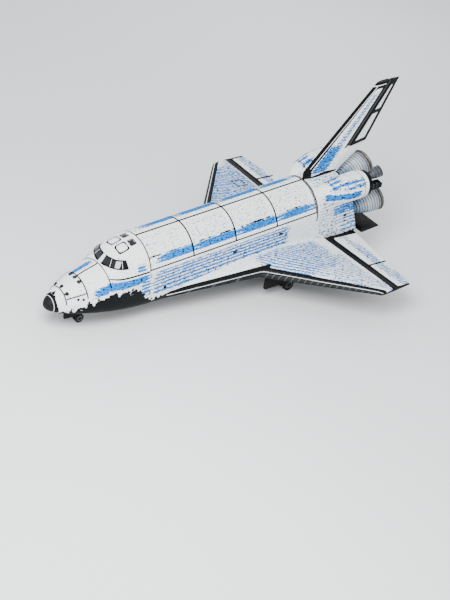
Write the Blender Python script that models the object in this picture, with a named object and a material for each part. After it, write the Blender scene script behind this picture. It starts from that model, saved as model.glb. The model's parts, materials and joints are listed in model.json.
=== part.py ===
"""Full-size winged space shuttle orbiter, standing on its wheels.

Every piece is drawn in the vehicle's own frame: x aft from the nose tip, y to starboard
and z up from the belly, all in metres. The empty "stance" turns that frame 4 degrees nose
down and sets the tyres on the ground, with the nose towards -X.
"""

import math

import bmesh
import bpy
from mathutils import Vector

INCH = 0.0254
STATION_ZERO = 236  # fuselage station of the nose tip, inches
WATERLINE_ZERO = 275  # waterline of the belly, inches
GAP = 0.0003  # between pieces that touch
RUNNING = 0.008  # between pieces that pass each other
STANCE_ANGLE = math.radians(4)
SIDES = (("port", -1), ("starboard", 1))

# Payload bay and its doors
BAY_FRONT, BAY_REAR = 8.79, 27.20
BAY_AXIS_Z = 3.175
BODY_RADIUS = 2.60
BAY_RADIUS = 2.30
DOOR_WALL = 0.08
DOOR_STEPS = 12
RADIATOR_WALL = 0.05
RADIATOR_REAR = 18.0
RADIATOR_STEPS = (1, 6)  # facets of the door's arc that a radiator covers

# Cabin
CABIN_WALL = 0.22
CABIN_FRONT = 440  # station
FLIGHT_DECK_Z = 3.30
WINDSHIELD_Z = (4.27, 4.90)
WINDSHIELD_X = (4.9, 6.85)
WINDSHIELD_POST = 0.05  # half the post between the two sides
GLASS = 0.035
OVERHEAD_X = (7.88, 8.33)
OVERHEAD_Y = (0.30, 0.80)
HATCH_CENTRE = (7.10, 2.41)
HATCH_RADIUS = 0.51
HATCH_PANE_RADIUS = 0.127
HATCH_BARREL, HATCH_HINGE_REACH = 0.03, 0.20  # radius and half length of the hinge's barrel
HATCH_NOTCH, HATCH_NOTCH_DEPTH = 0.006, 0.045  # the notch outside the barrel, for the open hatch's edge

# Aft body
BASE_FOOT, BASE_SLOPE = 32.62, 0.31  # the base's x at the belly, and its lean forward per metre up
FLAP_HINGE = (32.92, 0.30)
FLAP_RADIUS = 0.22
FLAP_HALF_SPAN = 3.05
FLAP_REAR = 34.98
FLAP_LUGS_Y = (-1.9, 0.0, 1.9)
LUG_HALF_WIDTH, LUG_HALF_DEPTH = 0.06, 0.13
LUG_BURIED, LUG_REACH = 0.23, 0.10  # how far a lug runs into the base and past the hinge
UMBILICAL_X = (28.25, 29.52)
UMBILICAL_Y = (1.20, 2.25)
UMBILICAL_WALL = 0.07

# Main engines: name, gimbal point, cant up and toe-out in degrees
ENGINES = (
    ("upper", (30.71, 0.0, 4.27), 16.0, 0.0),
    ("port", (31.30, -1.346, 1.717), 10.0, -3.5),
    ("starboard", (31.30, 1.346, 1.717), 10.0, 3.5),
)
GIMBAL_BALL = 0.24
DOME_RADIUS = 1.08
SOCKET_CLEARANCE = 0.05
BELL_LENGTH = 4.24
BELL_EXIT_RADIUS = 1.195

# Orbital manoeuvring pods
POD_NOZZLE_BASE = (32.62, 2.235, 5.48)
POD_NOZZLE_AIM = (1.0, 0.114, 0.283)
POD_NOZZLE_EXIT_RADIUS = 0.545
POD_NOZZLE_LENGTH = 1.82
POD_BALL = 0.36  # the nozzle's round seat

# Wing
WING_ROOT_Y, WING_TIP_Y = 2.60, 11.896
DIHEDRAL = math.radians(3.5)
ELEVON_HINGE_X = 29.24
ELEVON_ENDS = (("inboard", 2.96, 7.90), ("outboard", 7.98, 11.74))
ELEVON_END_GAP = 0.02
WING_BURIED_Y = 2.35  # where the wing's section is closed, inside the body
TRAILING_ROOT_X, TRAILING_SLOPE = 32.73, 0.1773  # trailing edge at y = 0, and its run forward per metre
CHORD_STEPS = 9
EDGE_STEPS = 4
# y, leading edge x, greatest thickness, its place along the chord, nose power, edge depth
WING_STATIONS = (
    (2.60, 9.30, 1.58, 0.66, 0.85, 1.10),
    (3.10, 12.35, 1.55, 0.60, 0.80, 1.05),
    (3.70, 15.90, 1.50, 0.52, 0.70, 0.95),
    (4.29, 19.53, 1.42, 0.42, 0.55, 0.70),
    (7.94, 23.18, 0.86, 0.42, 0.50, 0.55),
    (11.60, 26.84, 0.40, 0.42, 0.50, 0.42),
    (WING_TIP_Y, 27.20, 0.22, 0.42, 0.50, 0.38),
)

# Fin: leading edge foot, tip and trailing edge, x and z
FIN_FOOT_X = 27.24
FIN_FOOT_Z = 5.715
FIN_LEADING_X = 26.46  # where the swept leading edge would meet the foot
FIN_TRAILING_X = 33.29
FIN_TIP_Z = 13.74
FIN_TIP_LEADING_X, FIN_TIP_TRAILING_X = 34.48, 37.24
FIN_ROOT_HALF, FIN_TIP_HALF = 0.31, 0.16  # half thickness at the rudder's hinge
RUDDER_FOOT_Z = 7.90
RUDDER_SHARE = 0.60  # the hinge's place along the chord
SHAFT_STEPS = 48

# Landing gear
MAIN_AXLE = (23.77, 3.45, -2.056)
MAIN_TYRE = (0.565, 0.205)  # radius, half width
MAIN_TRACK = 0.39  # a tyre's middle from the strut
NOSE_AXLE_X = 3.63
NOSE_TYRE = (0.405, 0.11)
NOSE_TRACK = 0.19
MAIN_WELL_X, MAIN_WELL_Y, MAIN_WELL_Z = (20.5, 24.5), (2.75, 4.15), 0.95
NOSE_WELL_X, NOSE_WELL_HALF, NOSE_WELL_Z = (1.75, 3.80), 0.45, 1.35
GEAR_DOOR_WALL = 0.06
AXLE_RADIUS = 0.06
WHEEL_STEPS = 20
AXLE_STEPS = 32

# Pads that hold the vehicle to its tank: middle's x and y, half side, height of the lower face
FORWARD_FITTING = (4.05, 0.0, 0.14, 0.40)
AFT_FITTING = (27.75, 1.55, 0.16, -0.03)
# Pads in the bay for a payload's trunnions: middle's x and y, half length, half width, height over the sill
TRUNNION_PAD = (18.0, 2.20, 0.15, 0.08, 0.02)

# Finishes: colour, roughness, metallic
FINISHES = {
    "white_blanket": ((0.83, 0.84, 0.83, 1), 0.80, 0.0),
    "black_tile": ((0.02, 0.02, 0.025, 1), 0.55, 0.0),
    "white_tile": ((0.86, 0.87, 0.87, 1), 0.50, 0.0),
    "edge_carbon": ((0.05, 0.05, 0.055, 1), 0.60, 0.0),
    "bare_metal": ((0.55, 0.56, 0.58, 1), 0.35, 1.0),
    "bell_metal": ((0.42, 0.40, 0.39, 1), 0.40, 1.0),
    "radiator": ((0.75, 0.77, 0.80, 1), 0.15, 1.0),
    "cabin_grey": ((0.30, 0.32, 0.33, 1), 0.60, 0.0),
    "glass": ((0.01, 0.012, 0.015, 1), 0.05, 0.0),
    "tyre": ((0.025, 0.025, 0.025, 1), 0.85, 0.0),
}

stance = None


def station(value):
    """Metres aft of the nose tip for a fuselage station in inches."""
    return (value - STATION_ZERO) * INCH


def waterline(value):
    """Metres above the belly for a waterline in inches."""
    return (value - WATERLINE_ZERO) * INCH


def clear_scene():
    for obj in list(bpy.data.objects):
        bpy.data.objects.remove(obj, do_unlink=True)


def finish(name):
    """The named material, made on its first use."""
    found = bpy.data.materials.get(name)
    if found:
        return found
    colour, roughness, metallic = FINISHES[name]
    material = bpy.data.materials.new(name)
    material.use_nodes = True
    shader = material.node_tree.nodes["Principled BSDF"]
    shader.inputs["Base Color"].default_value = colour
    shader.inputs["Roughness"].default_value = roughness
    shader.inputs["Metallic"].default_value = metallic
    material.diffuse_color = colour
    return material


def loft(rings):
    """A solid through rings of equally many points, closed at both ends.

    Its sides are triangles, so that a cutter through the same rings meets it facet for facet.
    """
    bm = bmesh.new()
    rows = [[bm.verts.new(point) for point in ring] for ring in rings]
    count = len(rows[0])
    for row, following in zip(rows, rows[1:]):
        for i in range(count):
            j = (i + 1) % count
            bm.faces.new((row[i], row[j], following[j]))
            bm.faces.new((row[i], following[j], following[i]))
    bm.faces.new(rows[0])
    bm.faces.new(rows[-1])
    return bm


def box(low, high):
    x0, y0, z0 = low
    x1, y1, z1 = high
    return loft([[(x, y0, z0), (x, y1, z0), (x, y1, z1), (x, y0, z1)] for x in (x0, x1)])


def slab(outline, y0, y1):
    """A plate whose outline is given as x and z, from y0 to y1."""
    return loft([[(x, y, z) for x, z in outline] for y in (y0, y1)])


def turned(profile, base, direction, steps=24, start=None, across_flats=False):
    """A turned solid: profile is distance along the axis and radius, closed or from pole to pole.

    start is the direction that the middle of one facet faces.
    """
    base, axis = Vector(base), Vector(direction).normalized()
    first = Vector(start) if start else axis.orthogonal()
    first = (first - first.dot(axis) * axis).normalized()
    second = axis.cross(first)
    grow = 1 / math.cos(math.pi / steps) if across_flats else 1
    bm = bmesh.new()
    rows = []
    for along, radius in profile:
        centre = base + axis * along
        if radius == 0:
            rows.append([bm.verts.new(centre)] * steps)
            continue
        angles = [2 * math.pi * (i + 0.5) / steps for i in range(steps)]
        rows.append(
            [
                bm.verts.new(centre + (first * math.cos(a) + second * math.sin(a)) * radius * grow)
                for a in angles
            ]
        )
    pairs = list(zip(rows, rows[1:]))
    if profile[0][1]:
        pairs.append((rows[-1], rows[0]))
    for row, following in pairs:
        for i in range(steps):
            j = (i + 1) % steps
            corners = dict.fromkeys((row[i], row[j], following[j], following[i]))
            bm.faces.new(tuple(corners))
    return bm


def rod(start, end, radius, end_radius=None, steps=16):
    start, end = Vector(start), Vector(end)
    length = (end - start).length
    last = radius if end_radius is None else end_radius
    return turned([(0, 0), (0, radius), (length, last), (length, 0)], start, end - start, steps)


def ball(centre, radius, axis=(1, 0, 0), steps=20):
    half = steps // 2
    arc = [math.pi * i / half for i in range(half + 1)]
    profile = [(-radius * math.cos(a), radius * math.sin(a)) for a in arc]
    profile[0] = (-radius, 0)
    profile[-1] = (radius, 0)
    return turned(profile, centre, axis, steps)


def make_object(name, bm, origin):
    bmesh.ops.recalc_face_normals(bm, faces=bm.faces)
    bmesh.ops.translate(bm, verts=bm.verts, vec=-Vector(origin))
    mesh = bpy.data.meshes.new(name)
    bm.to_mesh(mesh)
    bm.free()
    obj = bpy.data.objects.new(name, mesh)
    bpy.context.scene.collection.objects.link(obj)
    obj.parent = stance
    obj.location = origin
    return obj


def piece(name, bm, material, origin=(0, 0, 0)):
    """One of the vehicle's pieces, with its origin on its joint's axis where it moves."""
    obj = make_object(name, bm, origin)
    obj.data.materials.append(finish(material))
    obj.data.shade_smooth()
    obj.data.set_sharp_from_angle(angle=math.radians(30))
    return obj


def boolean(obj, operation, shapes):
    for bm in shapes:
        tool = make_object(f"{obj.name}_{operation.lower()}_{len(obj.modifiers)}", bm, (0, 0, 0))
        tool.hide_render = True
        tool.display_type = "WIRE"
        modifier = obj.modifiers.new(operation.title(), "BOOLEAN")
        modifier.operation = operation
        modifier.solver = "EXACT"
        modifier.object = tool


def cut(obj, *shapes):
    boolean(obj, "DIFFERENCE", shapes)


def fuse(obj, *shapes):
    boolean(obj, "UNION", shapes)


def keep_inside(obj, *shapes):
    boolean(obj, "INTERSECT", shapes)


# Body sections: station, half width, top, widest and bottom waterlines, lower and upper power
BODY_SECTIONS = (
    (258, 29.0, 370.0, 338.0, 315.0, 2.1, 2.0),
    (275, 41.0, 382.0, 337.0, 309.0, 2.2, 2.0),
    (300, 55.0, 395.0, 337.0, 303.5, 2.4, 2.0),
    (340, 71.5, 411.0, 338.0, 298.0, 2.8, 2.0),
    (388, 85.5, 427.0, 342.0, 292.5, 3.4, 2.0),
    (440, 95.5, 441.0, 350.0, 286.0, 4.2, 2.05),
    (478, 99.5, 478.0, 360.0, 281.5, 5.0, 2.1),
    (500, 101.0, 489.5, 369.0, 279.5, 5.6, 2.1),
    (540, 102.2, 498.5, 385.0, 276.8, 7.0, 2.05),
    (582.06, 102.36, 502.36, 400.0, 275.0, 8.5, 2.0),
    (720, 102.36, 502.36, 400.0, 275.0, 14.0, 2.0),
    (1306.87, 102.36, 502.36, 400.0, 275.0, 14.0, 2.0),
    (1420, 102.36, 502.36, 402.0, 275.0, 14.0, 2.15),
    (1535, 102.36, 502.36, 405.0, 275.0, 14.0, 2.3),
)
NOSE_SEAM, BAY_FRONT_STATION, BAY_REAR_STATION, BODY_END = 258, 582.06, 1306.87, 1535
RING_STEPS = 32
# Nose cap rings: how far behind the tip, half width, and the drop below the tip's height
NOSE_RINGS = ((0.6, 4.6, 0.0), (3.0, 10.2, 0.2), (8.0, 17.0, 0.7), (14.5, 23.0, 1.2))
NOSE_TIP_WATERLINE = 339.2
NOSE_RISE, NOSE_FALL = 1.08, 0.84  # shares of a ring's half width above and below its middle


def superellipse(half_width, rise, power, angle):
    """A point of one quadrant or another of a rounded section, from its middle."""
    across, up = math.cos(angle), math.sin(angle)
    y = half_width * math.copysign(abs(across) ** (2 / power), across)
    z = rise * math.copysign(abs(up) ** (2 / power), up)
    return y, z


def body_ring(row, inset=0.0, shift=0.0):
    """The body's outline at one row of BODY_SECTIONS, drawn in by inset metres."""
    place, half_width, top, widest, bottom, lower_power, upper_power = row
    half_width = half_width * INCH - inset
    middle = waterline(widest)
    rise = waterline(top) - middle - inset
    fall = middle - waterline(bottom) - inset
    points = []
    for i in range(RING_STEPS):
        angle = 2 * math.pi * i / RING_STEPS
        above = i <= RING_STEPS // 2
        power = upper_power if above else lower_power
        y, z = superellipse(half_width, rise if above else fall, power, angle)
        points.append((station(place) + shift, y, middle + z))
    return points


def body_shape(first, last, inset=0.0, trims=(0.0, 0.0)):
    """The body between two of its stations, its end rings moved along x by trims."""
    rows = [row for row in BODY_SECTIONS if first <= row[0] <= last]
    rings = [body_ring(row, inset) for row in rows[1:-1]]
    start = body_ring(rows[0], inset, trims[0])
    end = body_ring(rows[-1], inset, trims[1])
    return loft([start, *rings, end])


def body_cutter(first, last, inset, reach):
    """The same shape run on straight past both ends by reach."""
    rows = [row for row in BODY_SECTIONS if first <= row[0] <= last]
    rings = [body_ring(row, inset) for row in rows]
    return loft([body_ring(rows[0], inset, -reach), *rings, body_ring(rows[-1], inset, reach)])


def build_nose_cap():
    rings = []
    for behind, half_width, drop in NOSE_RINGS:
        middle = NOSE_TIP_WATERLINE - drop
        top, bottom = middle + half_width * NOSE_RISE, middle - half_width * NOSE_FALL
        rings.append(body_ring((STATION_ZERO + behind, half_width, top, middle, bottom, 2, 2)))
    rings.append(body_ring(BODY_SECTIONS[0], 0, -GAP))
    piece("nose_cap", loft(rings), "edge_carbon")


def windshield_cutter(side, clearance):
    low, high = WINDSHIELD_POST + clearance, 3.2
    y0, y1 = sorted((side * low, side * high))
    return box(
        (WINDSHIELD_X[0], y0, WINDSHIELD_Z[0] + clearance),
        (WINDSHIELD_X[1] - clearance, y1, WINDSHIELD_Z[1] - clearance),
    )


def overhead_cutter(side, clearance):
    y0, y1 = sorted((side * (OVERHEAD_Y[0] + clearance), side * (OVERHEAD_Y[1] - clearance)))
    return box((OVERHEAD_X[0] + clearance, y0, 4.9), (OVERHEAD_X[1] - clearance, y1, 6.4))


def cabin_hollow(clearance=0.0):
    """The cabin's inside, open to the rear and straight where the bulkhead stands."""
    rows = [row for row in BODY_SECTIONS if CABIN_FRONT <= row[0] <= BAY_FRONT_STATION]
    wall = CABIN_WALL + clearance
    rings = [body_ring(row, wall) for row in rows[:-1]]
    return loft([*rings, body_ring(rows[-1], wall, -0.2), body_ring(rows[-1], wall, 0.3)])


def glazing(name, cutter):
    """Glass that fills an opening of the cabin, a little inside the skin."""
    pane = piece(name, body_shape(300, BAY_FRONT_STATION, 0.02), "glass")
    cut(pane, body_shape(275, BODY_END, 0.02 + GLASS))
    keep_inside(pane, cutter)
    return pane


def hatch_axis():
    """The side hatch's hinge: at the bottom of the opening, just inside the port skin."""
    return (HATCH_CENTRE[0], -2.55, HATCH_CENTRE[1] - HATCH_RADIUS)


def build_forward_fuselage():
    body = piece("forward_fuselage", body_shape(NOSE_SEAM, BAY_FRONT_STATION), "white_tile")
    cut(body, cabin_hollow())
    for _, side in SIDES:
        cut(body, windshield_cutter(side, 0), overhead_cutter(side, 0))
    x, z = HATCH_CENTRE
    cut(body, rod((x, -1.9, z), (x, -3.0, z), HATCH_RADIUS + RUNNING, steps=32))
    hinge = Vector(hatch_axis())
    along = Vector((HATCH_HINGE_REACH + 0.01, 0, 0))
    groove = (HATCH_BARREL + GAP) / math.cos(math.pi / AXLE_STEPS)
    cut(body, rod(hinge - along, hinge + along, groove, steps=AXLE_STEPS))
    y, z = hinge.y - HATCH_NOTCH, hinge.z
    cut(body, box((x - along.x, y - 0.1, z - HATCH_NOTCH_DEPTH), (x + along.x, y, z)))
    (x0, x1), half, top = NOSE_WELL_X, NOSE_WELL_HALF, NOSE_WELL_Z
    cut(body, box((x0, -half, -0.5), (x1, half, top)))
    x, y, half, low = FORWARD_FITTING
    fuse(body, box((x - half, y - half, low), (x + half, y + half, low + 0.3)))


def build_cabin():
    row = BODY_SECTIONS[9]
    wall = [body_ring(row, CABIN_WALL + GAP, shift) for shift in (-0.14, -GAP)]
    bulkhead = piece("cabin_bulkhead", loft(wall), "white_blanket")
    for _, side in SIDES:
        y0, y1 = sorted((side * 0.14, side * 0.52))
        cut(bulkhead, box((8.4, y0, 4.35), (9.0, y1, 4.75)))
    deck = piece("flight_deck", box((5.25, -3, FLIGHT_DECK_Z - 0.08), (8.0, 3, FLIGHT_DECK_Z)), "cabin_grey")
    fuse(deck, box((5.50, -1.15, FLIGHT_DECK_Z - 0.02), (5.80, 1.15, 4.02)))
    fuse(deck, box((5.75, -0.24, FLIGHT_DECK_Z - 0.03), (6.88, 0.24, 3.85)))
    for _, side in SIDES:
        y0, y1 = sorted((side * 0.42, side * 0.96))
        fuse(deck, box((6.28, y0, FLIGHT_DECK_Z - 0.04), (6.84, y1, 3.72)))
        fuse(deck, box((6.72, y0 + 0.03, 3.60), (6.93, y1 - 0.03, 4.50)))
    keep_inside(deck, cabin_hollow(GAP))
    for name, side in SIDES:
        glazing(f"{name}_windshield", windshield_cutter(side, GAP * 3))
        glazing(f"{name}_overhead_window", overhead_cutter(side, GAP * 3))


def build_side_hatch():
    x, z = HATCH_CENTRE
    hinge = hatch_axis()
    plug = rod((x, -2.385, z), (x, -3.0, z), 0.44, 0.44 + 0.065 * 3, steps=32)
    hatch = piece("side_hatch", plug, "white_tile", hinge)
    keep_inside(hatch, rod((x, -2.0, z), (x, -3.2, z), HATCH_RADIUS - 0.005, steps=32))
    keep_inside(hatch, body_shape(300, BAY_FRONT_STATION))
    along = Vector((HATCH_HINGE_REACH, 0, 0))
    fuse(hatch, rod(Vector(hinge) - along, Vector(hinge) + along, HATCH_BARREL, steps=AXLE_STEPS))
    cut(hatch, rod((x, -2.0, z), (x, -3.0, z), HATCH_PANE_RADIUS + GAP))
    pane = rod((x, -2.44, z), (x, -2.50, z), HATCH_PANE_RADIUS)
    piece("hatch_pane", pane, "glass", hinge)


def build_mid_fuselage():
    shape = body_shape(BAY_FRONT_STATION, BAY_REAR_STATION, 0, (GAP, -GAP))
    body = piece("mid_fuselage", shape, "white_blanket")
    sill = BAY_AXIS_Z + (BODY_RADIUS - DOOR_WALL) * math.sin(door_angle(0)) - GAP
    cut(body, box((8, -4, sill), (28, 4, 8)))
    cut(body, rod((8, 0, BAY_AXIS_Z), (28, 0, BAY_AXIS_Z), BAY_RADIUS, steps=40))
    x, y, half_length, half_width, height = TRUNNION_PAD
    for _, side in SIDES:
        low = (x - half_length, side * y - half_width, sill - 0.15)
        fuse(body, box(low, (x + half_length, side * y + half_width, sill + height)))


def door_angle(step):
    """The angle up from the horizontal of one of the door's corners, on the body's own facets."""
    return 2 * math.pi * (step + 1) / RING_STEPS


DOOR_FACETS = RING_STEPS // 4 - 1


def shell_ring(x, side, outer, inner, first, last):
    """An arched section about the bay's axis, between two of the door's corners."""
    points = []
    for radius, steps in ((outer, range(first, last + 1)), (inner, range(last, first - 1, -1))):
        for step in steps:
            y = max(radius * math.cos(door_angle(step)), RUNNING / 2)
            points.append((x, side * y, BAY_AXIS_Z + radius * math.sin(door_angle(step))))
    return points


def door_hinge(side):
    y = BODY_RADIUS * math.cos(door_angle(0))
    return (BAY_FRONT, side * y, BAY_AXIS_Z + BODY_RADIUS * math.sin(door_angle(0)))


def radiator_hinge(side):
    radius = BODY_RADIUS - DOOR_WALL - GAP
    angle = door_angle(RADIATOR_STEPS[0])
    return (BAY_FRONT, side * radius * math.cos(angle), BAY_AXIS_Z + radius * math.sin(angle))


def build_payload_bay():
    for name, side in SIDES:
        ends = (BAY_FRONT + RUNNING, BAY_REAR - RUNNING)
        inner = BODY_RADIUS - DOOR_WALL
        rings = [shell_ring(x, side, BODY_RADIUS, inner, 0, DOOR_FACETS) for x in ends]
        piece(f"{name}_bay_door", loft(rings), "white_blanket", door_hinge(side))
        outer = inner - GAP
        ends = (BAY_FRONT + 0.15, RADIATOR_REAR)
        rings = [shell_ring(x, side, outer, outer - RADIATOR_WALL, *RADIATOR_STEPS) for x in ends]
        piece(f"{name}_radiator", loft(rings), "radiator", radiator_hinge(side))


def engine_aim(cant, toe):
    cant, toe = math.radians(cant), math.radians(toe)
    return Vector((math.cos(cant) * math.cos(toe), math.cos(cant) * math.sin(toe), math.sin(cant)))


def base_x(z):
    """The aft body's rear face at a height."""
    return BASE_FOOT - BASE_SLOPE * z


def build_aft_fuselage():
    shape = body_shape(BAY_REAR_STATION, BODY_END, 0, (GAP, 0))
    body = piece("aft_fuselage", shape, "white_tile")
    outline = [(base_x(-1), -1), (36, -1), (36, 7), (base_x(7), 7)]
    cut(body, slab(outline, -4, 4))
    for _, gimbal, cant, toe in ENGINES:
        gimbal, aim = Vector(gimbal), engine_aim(cant, toe)
        cut(body, ball(gimbal, DOME_RADIUS + SOCKET_CLEARANCE, aim, 18))
        post_start = gimbal - aim * (DOME_RADIUS + 0.15)
        fuse(body, rod(post_start, gimbal - aim * (GIMBAL_BALL + GAP), 0.13, steps=10))
    x, z = FLAP_HINGE
    for y in FLAP_LUGS_Y:
        low = (base_x(0) - LUG_BURIED, y - LUG_HALF_WIDTH, z - LUG_HALF_DEPTH)
        fuse(body, box(low, (x + LUG_REACH, y + LUG_HALF_WIDTH, z + LUG_HALF_DEPTH)))
    for _, side in SIDES:
        y0, y1 = sorted(side * y for y in UMBILICAL_Y)
        x0, x1 = UMBILICAL_X
        cut(body, box((x0, y0, -0.5), (x1, y1, UMBILICAL_WALL + GAP)))
        x, y, half, low = AFT_FITTING
        y *= side
        fuse(body, box((x - half, y - half, low), (x + half, y + half, low + 0.3)))


def build_umbilical_doors():
    for name, side in SIDES:
        inboard = side * UMBILICAL_Y[0]
        y0, y1 = sorted((side * (UMBILICAL_Y[0] + GAP), side * (UMBILICAL_Y[1] - RUNNING)))
        x0, x1 = UMBILICAL_X[0] + RUNNING, UMBILICAL_X[1] - RUNNING
        door = box((x0, y0, 0.0), (x1, y1, UMBILICAL_WALL))
        piece(f"{name}_umbilical_door", door, "black_tile", (x0, inboard, 0.0))


def build_body_flap():
    x, z = FLAP_HINGE
    arc = [math.pi / 2 + math.pi * i / 8 for i in range(9)]
    outline = [(x + FLAP_RADIUS * math.cos(a), z + FLAP_RADIUS * math.sin(a)) for a in arc]
    outline += [(FLAP_REAR, z - FLAP_RADIUS + 0.06), (FLAP_REAR, z - FLAP_RADIUS + 0.13)]
    flap = piece("body_flap", slab(outline, -FLAP_HALF_SPAN, FLAP_HALF_SPAN), "black_tile", (x, 0, z))
    for y in FLAP_LUGS_Y:
        half = LUG_HALF_WIDTH + GAP
        cut(flap, box((x - 0.5, y - half, z - 0.5), (x + 0.16, y + half, z + 0.5)))


def bell_profile(start, length, throat, exit_radius, wall, steps=5):
    """Outer and inner lines of a bell from its throat to its mouth and back, as distance and radius."""
    outer, inner = [], []
    for i in range(steps + 1):
        share = i / steps
        radius = throat + (exit_radius - throat) * math.sin(share * math.pi / 2) ** 0.82
        along = start + (length - start) * share
        outer.append((along, radius))
        inner.append((along, radius - wall))
    return outer + inner[::-1]


def build_engines():
    for name, gimbal, cant, toe in ENGINES:
        aim = engine_aim(cant, toe)
        block = ball(gimbal, GIMBAL_BALL, aim, 10)
        piece(f"{name}_gimbal_block", block, "bare_metal", gimbal)
        face = GIMBAL_BALL + GAP
        arc = [math.acos(face / DOME_RADIUS) * (1 - i / 4) + math.radians(24) * i / 4 for i in range(5)]
        dome = [(DOME_RADIUS * math.cos(a), DOME_RADIUS * math.sin(a)) for a in arc]
        bell = bell_profile(dome[-1][0] + 0.05, BELL_LENGTH, dome[-1][1], BELL_EXIT_RADIUS, 0.06)
        throat = bell[-1][0] + 0.05
        profile = [(face, 0), *dome, *bell[:-1], (throat, 0.20), (throat, 0)]
        piece(f"{name}_main_engine", turned(profile, gimbal, aim, 24), "bell_metal", gimbal)


# Pod sections: x, middle's y and z, half width, half height
POD_SECTIONS = (
    (27.32, 1.60, 4.85, 0.22, 0.30),
    (27.85, 1.78, 4.95, 0.62, 0.68),
    (28.80, 1.98, 5.01, 0.98, 1.03),
    (30.20, 2.15, 5.06, 1.20, 1.25),
    (31.80, 2.20, 5.08, 1.25, 1.27),
    (32.75, 2.36, 5.12, 1.06, 1.18),
)
POD_STEPS = 24
# Thruster housing on the pod's outer side: x, inner and outer y, lower and upper z
THRUSTER_HOUSING = ((32.2, 2.74, 3.30, 4.70, 5.50), (33.96, 2.74, 3.42, 4.82, 5.38))
HOUSING_CHAMFER = 0.06


def pod_ring(row, side):
    x, y, z, half_width, half_height = row
    points = []
    for i in range(POD_STEPS):
        across, up = superellipse(half_width, half_height, 2.2, 2 * math.pi * i / POD_STEPS)
        points.append((x, side * y + across, z + up))
    return points


def build_pods():
    for name, side in SIDES:
        shell = loft([pod_ring(row, side) for row in POD_SECTIONS])
        pod = piece(f"{name}_manoeuvring_pod", shell, "white_blanket")
        housing = []
        for x, inner, outer, low, high in THRUSTER_HOUSING:
            housing.append(
                [
                    (x, side * inner, low),
                    (x, side * outer, low + HOUSING_CHAMFER),
                    (x, side * outer, high - HOUSING_CHAMFER),
                    (x, side * inner, high),
                ]
            )
        fuse(pod, loft(housing))
        cut(pod, body_cutter(BAY_REAR_STATION, BODY_END, -GAP, 0.5))
        base = Vector((POD_NOZZLE_BASE[0], side * POD_NOZZLE_BASE[1], POD_NOZZLE_BASE[2]))
        aim = Vector((POD_NOZZLE_AIM[0], side * POD_NOZZLE_AIM[1], POD_NOZZLE_AIM[2])).normalized()
        cut(pod, ball(base, POD_BALL + GAP, aim, 16))
        bell = bell_profile(0.30, POD_NOZZLE_LENGTH, 0.19, POD_NOZZLE_EXIT_RADIUS, 0.025, 5)
        inner_end = bell[-1][0] + 0.03
        seat = [math.pi * i / 8 for i in range(6)]
        profile = [(-POD_BALL * math.cos(a), POD_BALL * math.sin(a)) for a in seat]
        profile += [*bell[:-1], (inner_end, 0.10), (inner_end, 0)]
        piece(f"{name}_pod_nozzle", turned(profile, base, aim, 16), "bell_metal", base)


def hinge_radius(y):
    """Half the elevon's depth at its hinge."""
    share = (y - WING_ROOT_Y) / (WING_TIP_Y - WING_ROOT_Y)
    return 0.27 + (0.095 - 0.27) * share


def wing_floor(y):
    return (y - WING_ROOT_Y) * math.tan(DIHEDRAL)


def hinge_z(y):
    return wing_floor(y) + hinge_radius(y)


HINGE_SLOPE = math.tan(DIHEDRAL) - (0.27 - 0.095) / (WING_TIP_Y - WING_ROOT_Y)


def rear_cut(y):
    """Where the fixed wing stops ahead of the elevon."""
    return ELEVON_HINGE_X - hinge_radius(y) - 0.02


def trailing_x(y):
    return TRAILING_ROOT_X - TRAILING_SLOPE * y


def wing_point(row, x):
    """The wing's lower and upper surface at one station and one x."""
    y, leading, depth, peak, power, _ = row
    rear = rear_cut(y)
    thickest = leading + peak * (rear - leading)
    if x < thickest:
        share = (x - leading) / (thickest - leading)
        thickness = depth * (1 - (1 - share) ** 2) ** power
    else:
        share = (x - thickest) / (rear - thickest)
        thickness = depth + (2 * hinge_radius(y) - depth) * share**1.6
    lower = wing_floor(y) + (0.3 * (depth - thickness) if x < thickest else 0)
    return lower, lower + thickness


def wing_section(row, side, first, last, steps, y=None):
    """One section of the wing or of its leading edge, upper side first."""
    y = row[0] if y is None else y
    places = [first + (last - first) * i / steps for i in range(steps + 1)]
    upper = [(x, side * y, wing_point(row, x)[1]) for x in places]
    lower = [(x, side * y, wing_point(row, x)[0]) for x in reversed(places)]
    if first == row[1]:
        lower = lower[:-1]
    return upper + lower


def across_hinge(side, y, x, z):
    """A point of a section that stands square to the elevon's hinge."""
    return (x, side * (y - (z - hinge_z(y)) * HINGE_SLOPE), z)


def rib_section(side, y):
    front, rear, middle = rear_cut(y) - 0.2, trailing_x(y), hinge_z(y)
    radius = hinge_radius(y) * 0.9
    points = ((front, middle - radius), (ELEVON_HINGE_X, middle - radius), (rear, middle - radius * 0.55))
    points += ((rear, middle - radius * 0.25), (ELEVON_HINGE_X, middle + radius), (front, middle + radius))
    return [across_hinge(side, y, x, z) for x, z in points]


# Ribs between the elevons' ends, which carry their hinge pins
WING_RIBS = (
    (WING_BURIED_Y, ELEVON_ENDS[0][1] - ELEVON_END_GAP),
    (ELEVON_ENDS[0][2] + ELEVON_END_GAP, ELEVON_ENDS[1][1] - ELEVON_END_GAP),
    (ELEVON_ENDS[1][2] + ELEVON_END_GAP, WING_TIP_Y - 0.02),
)


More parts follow.
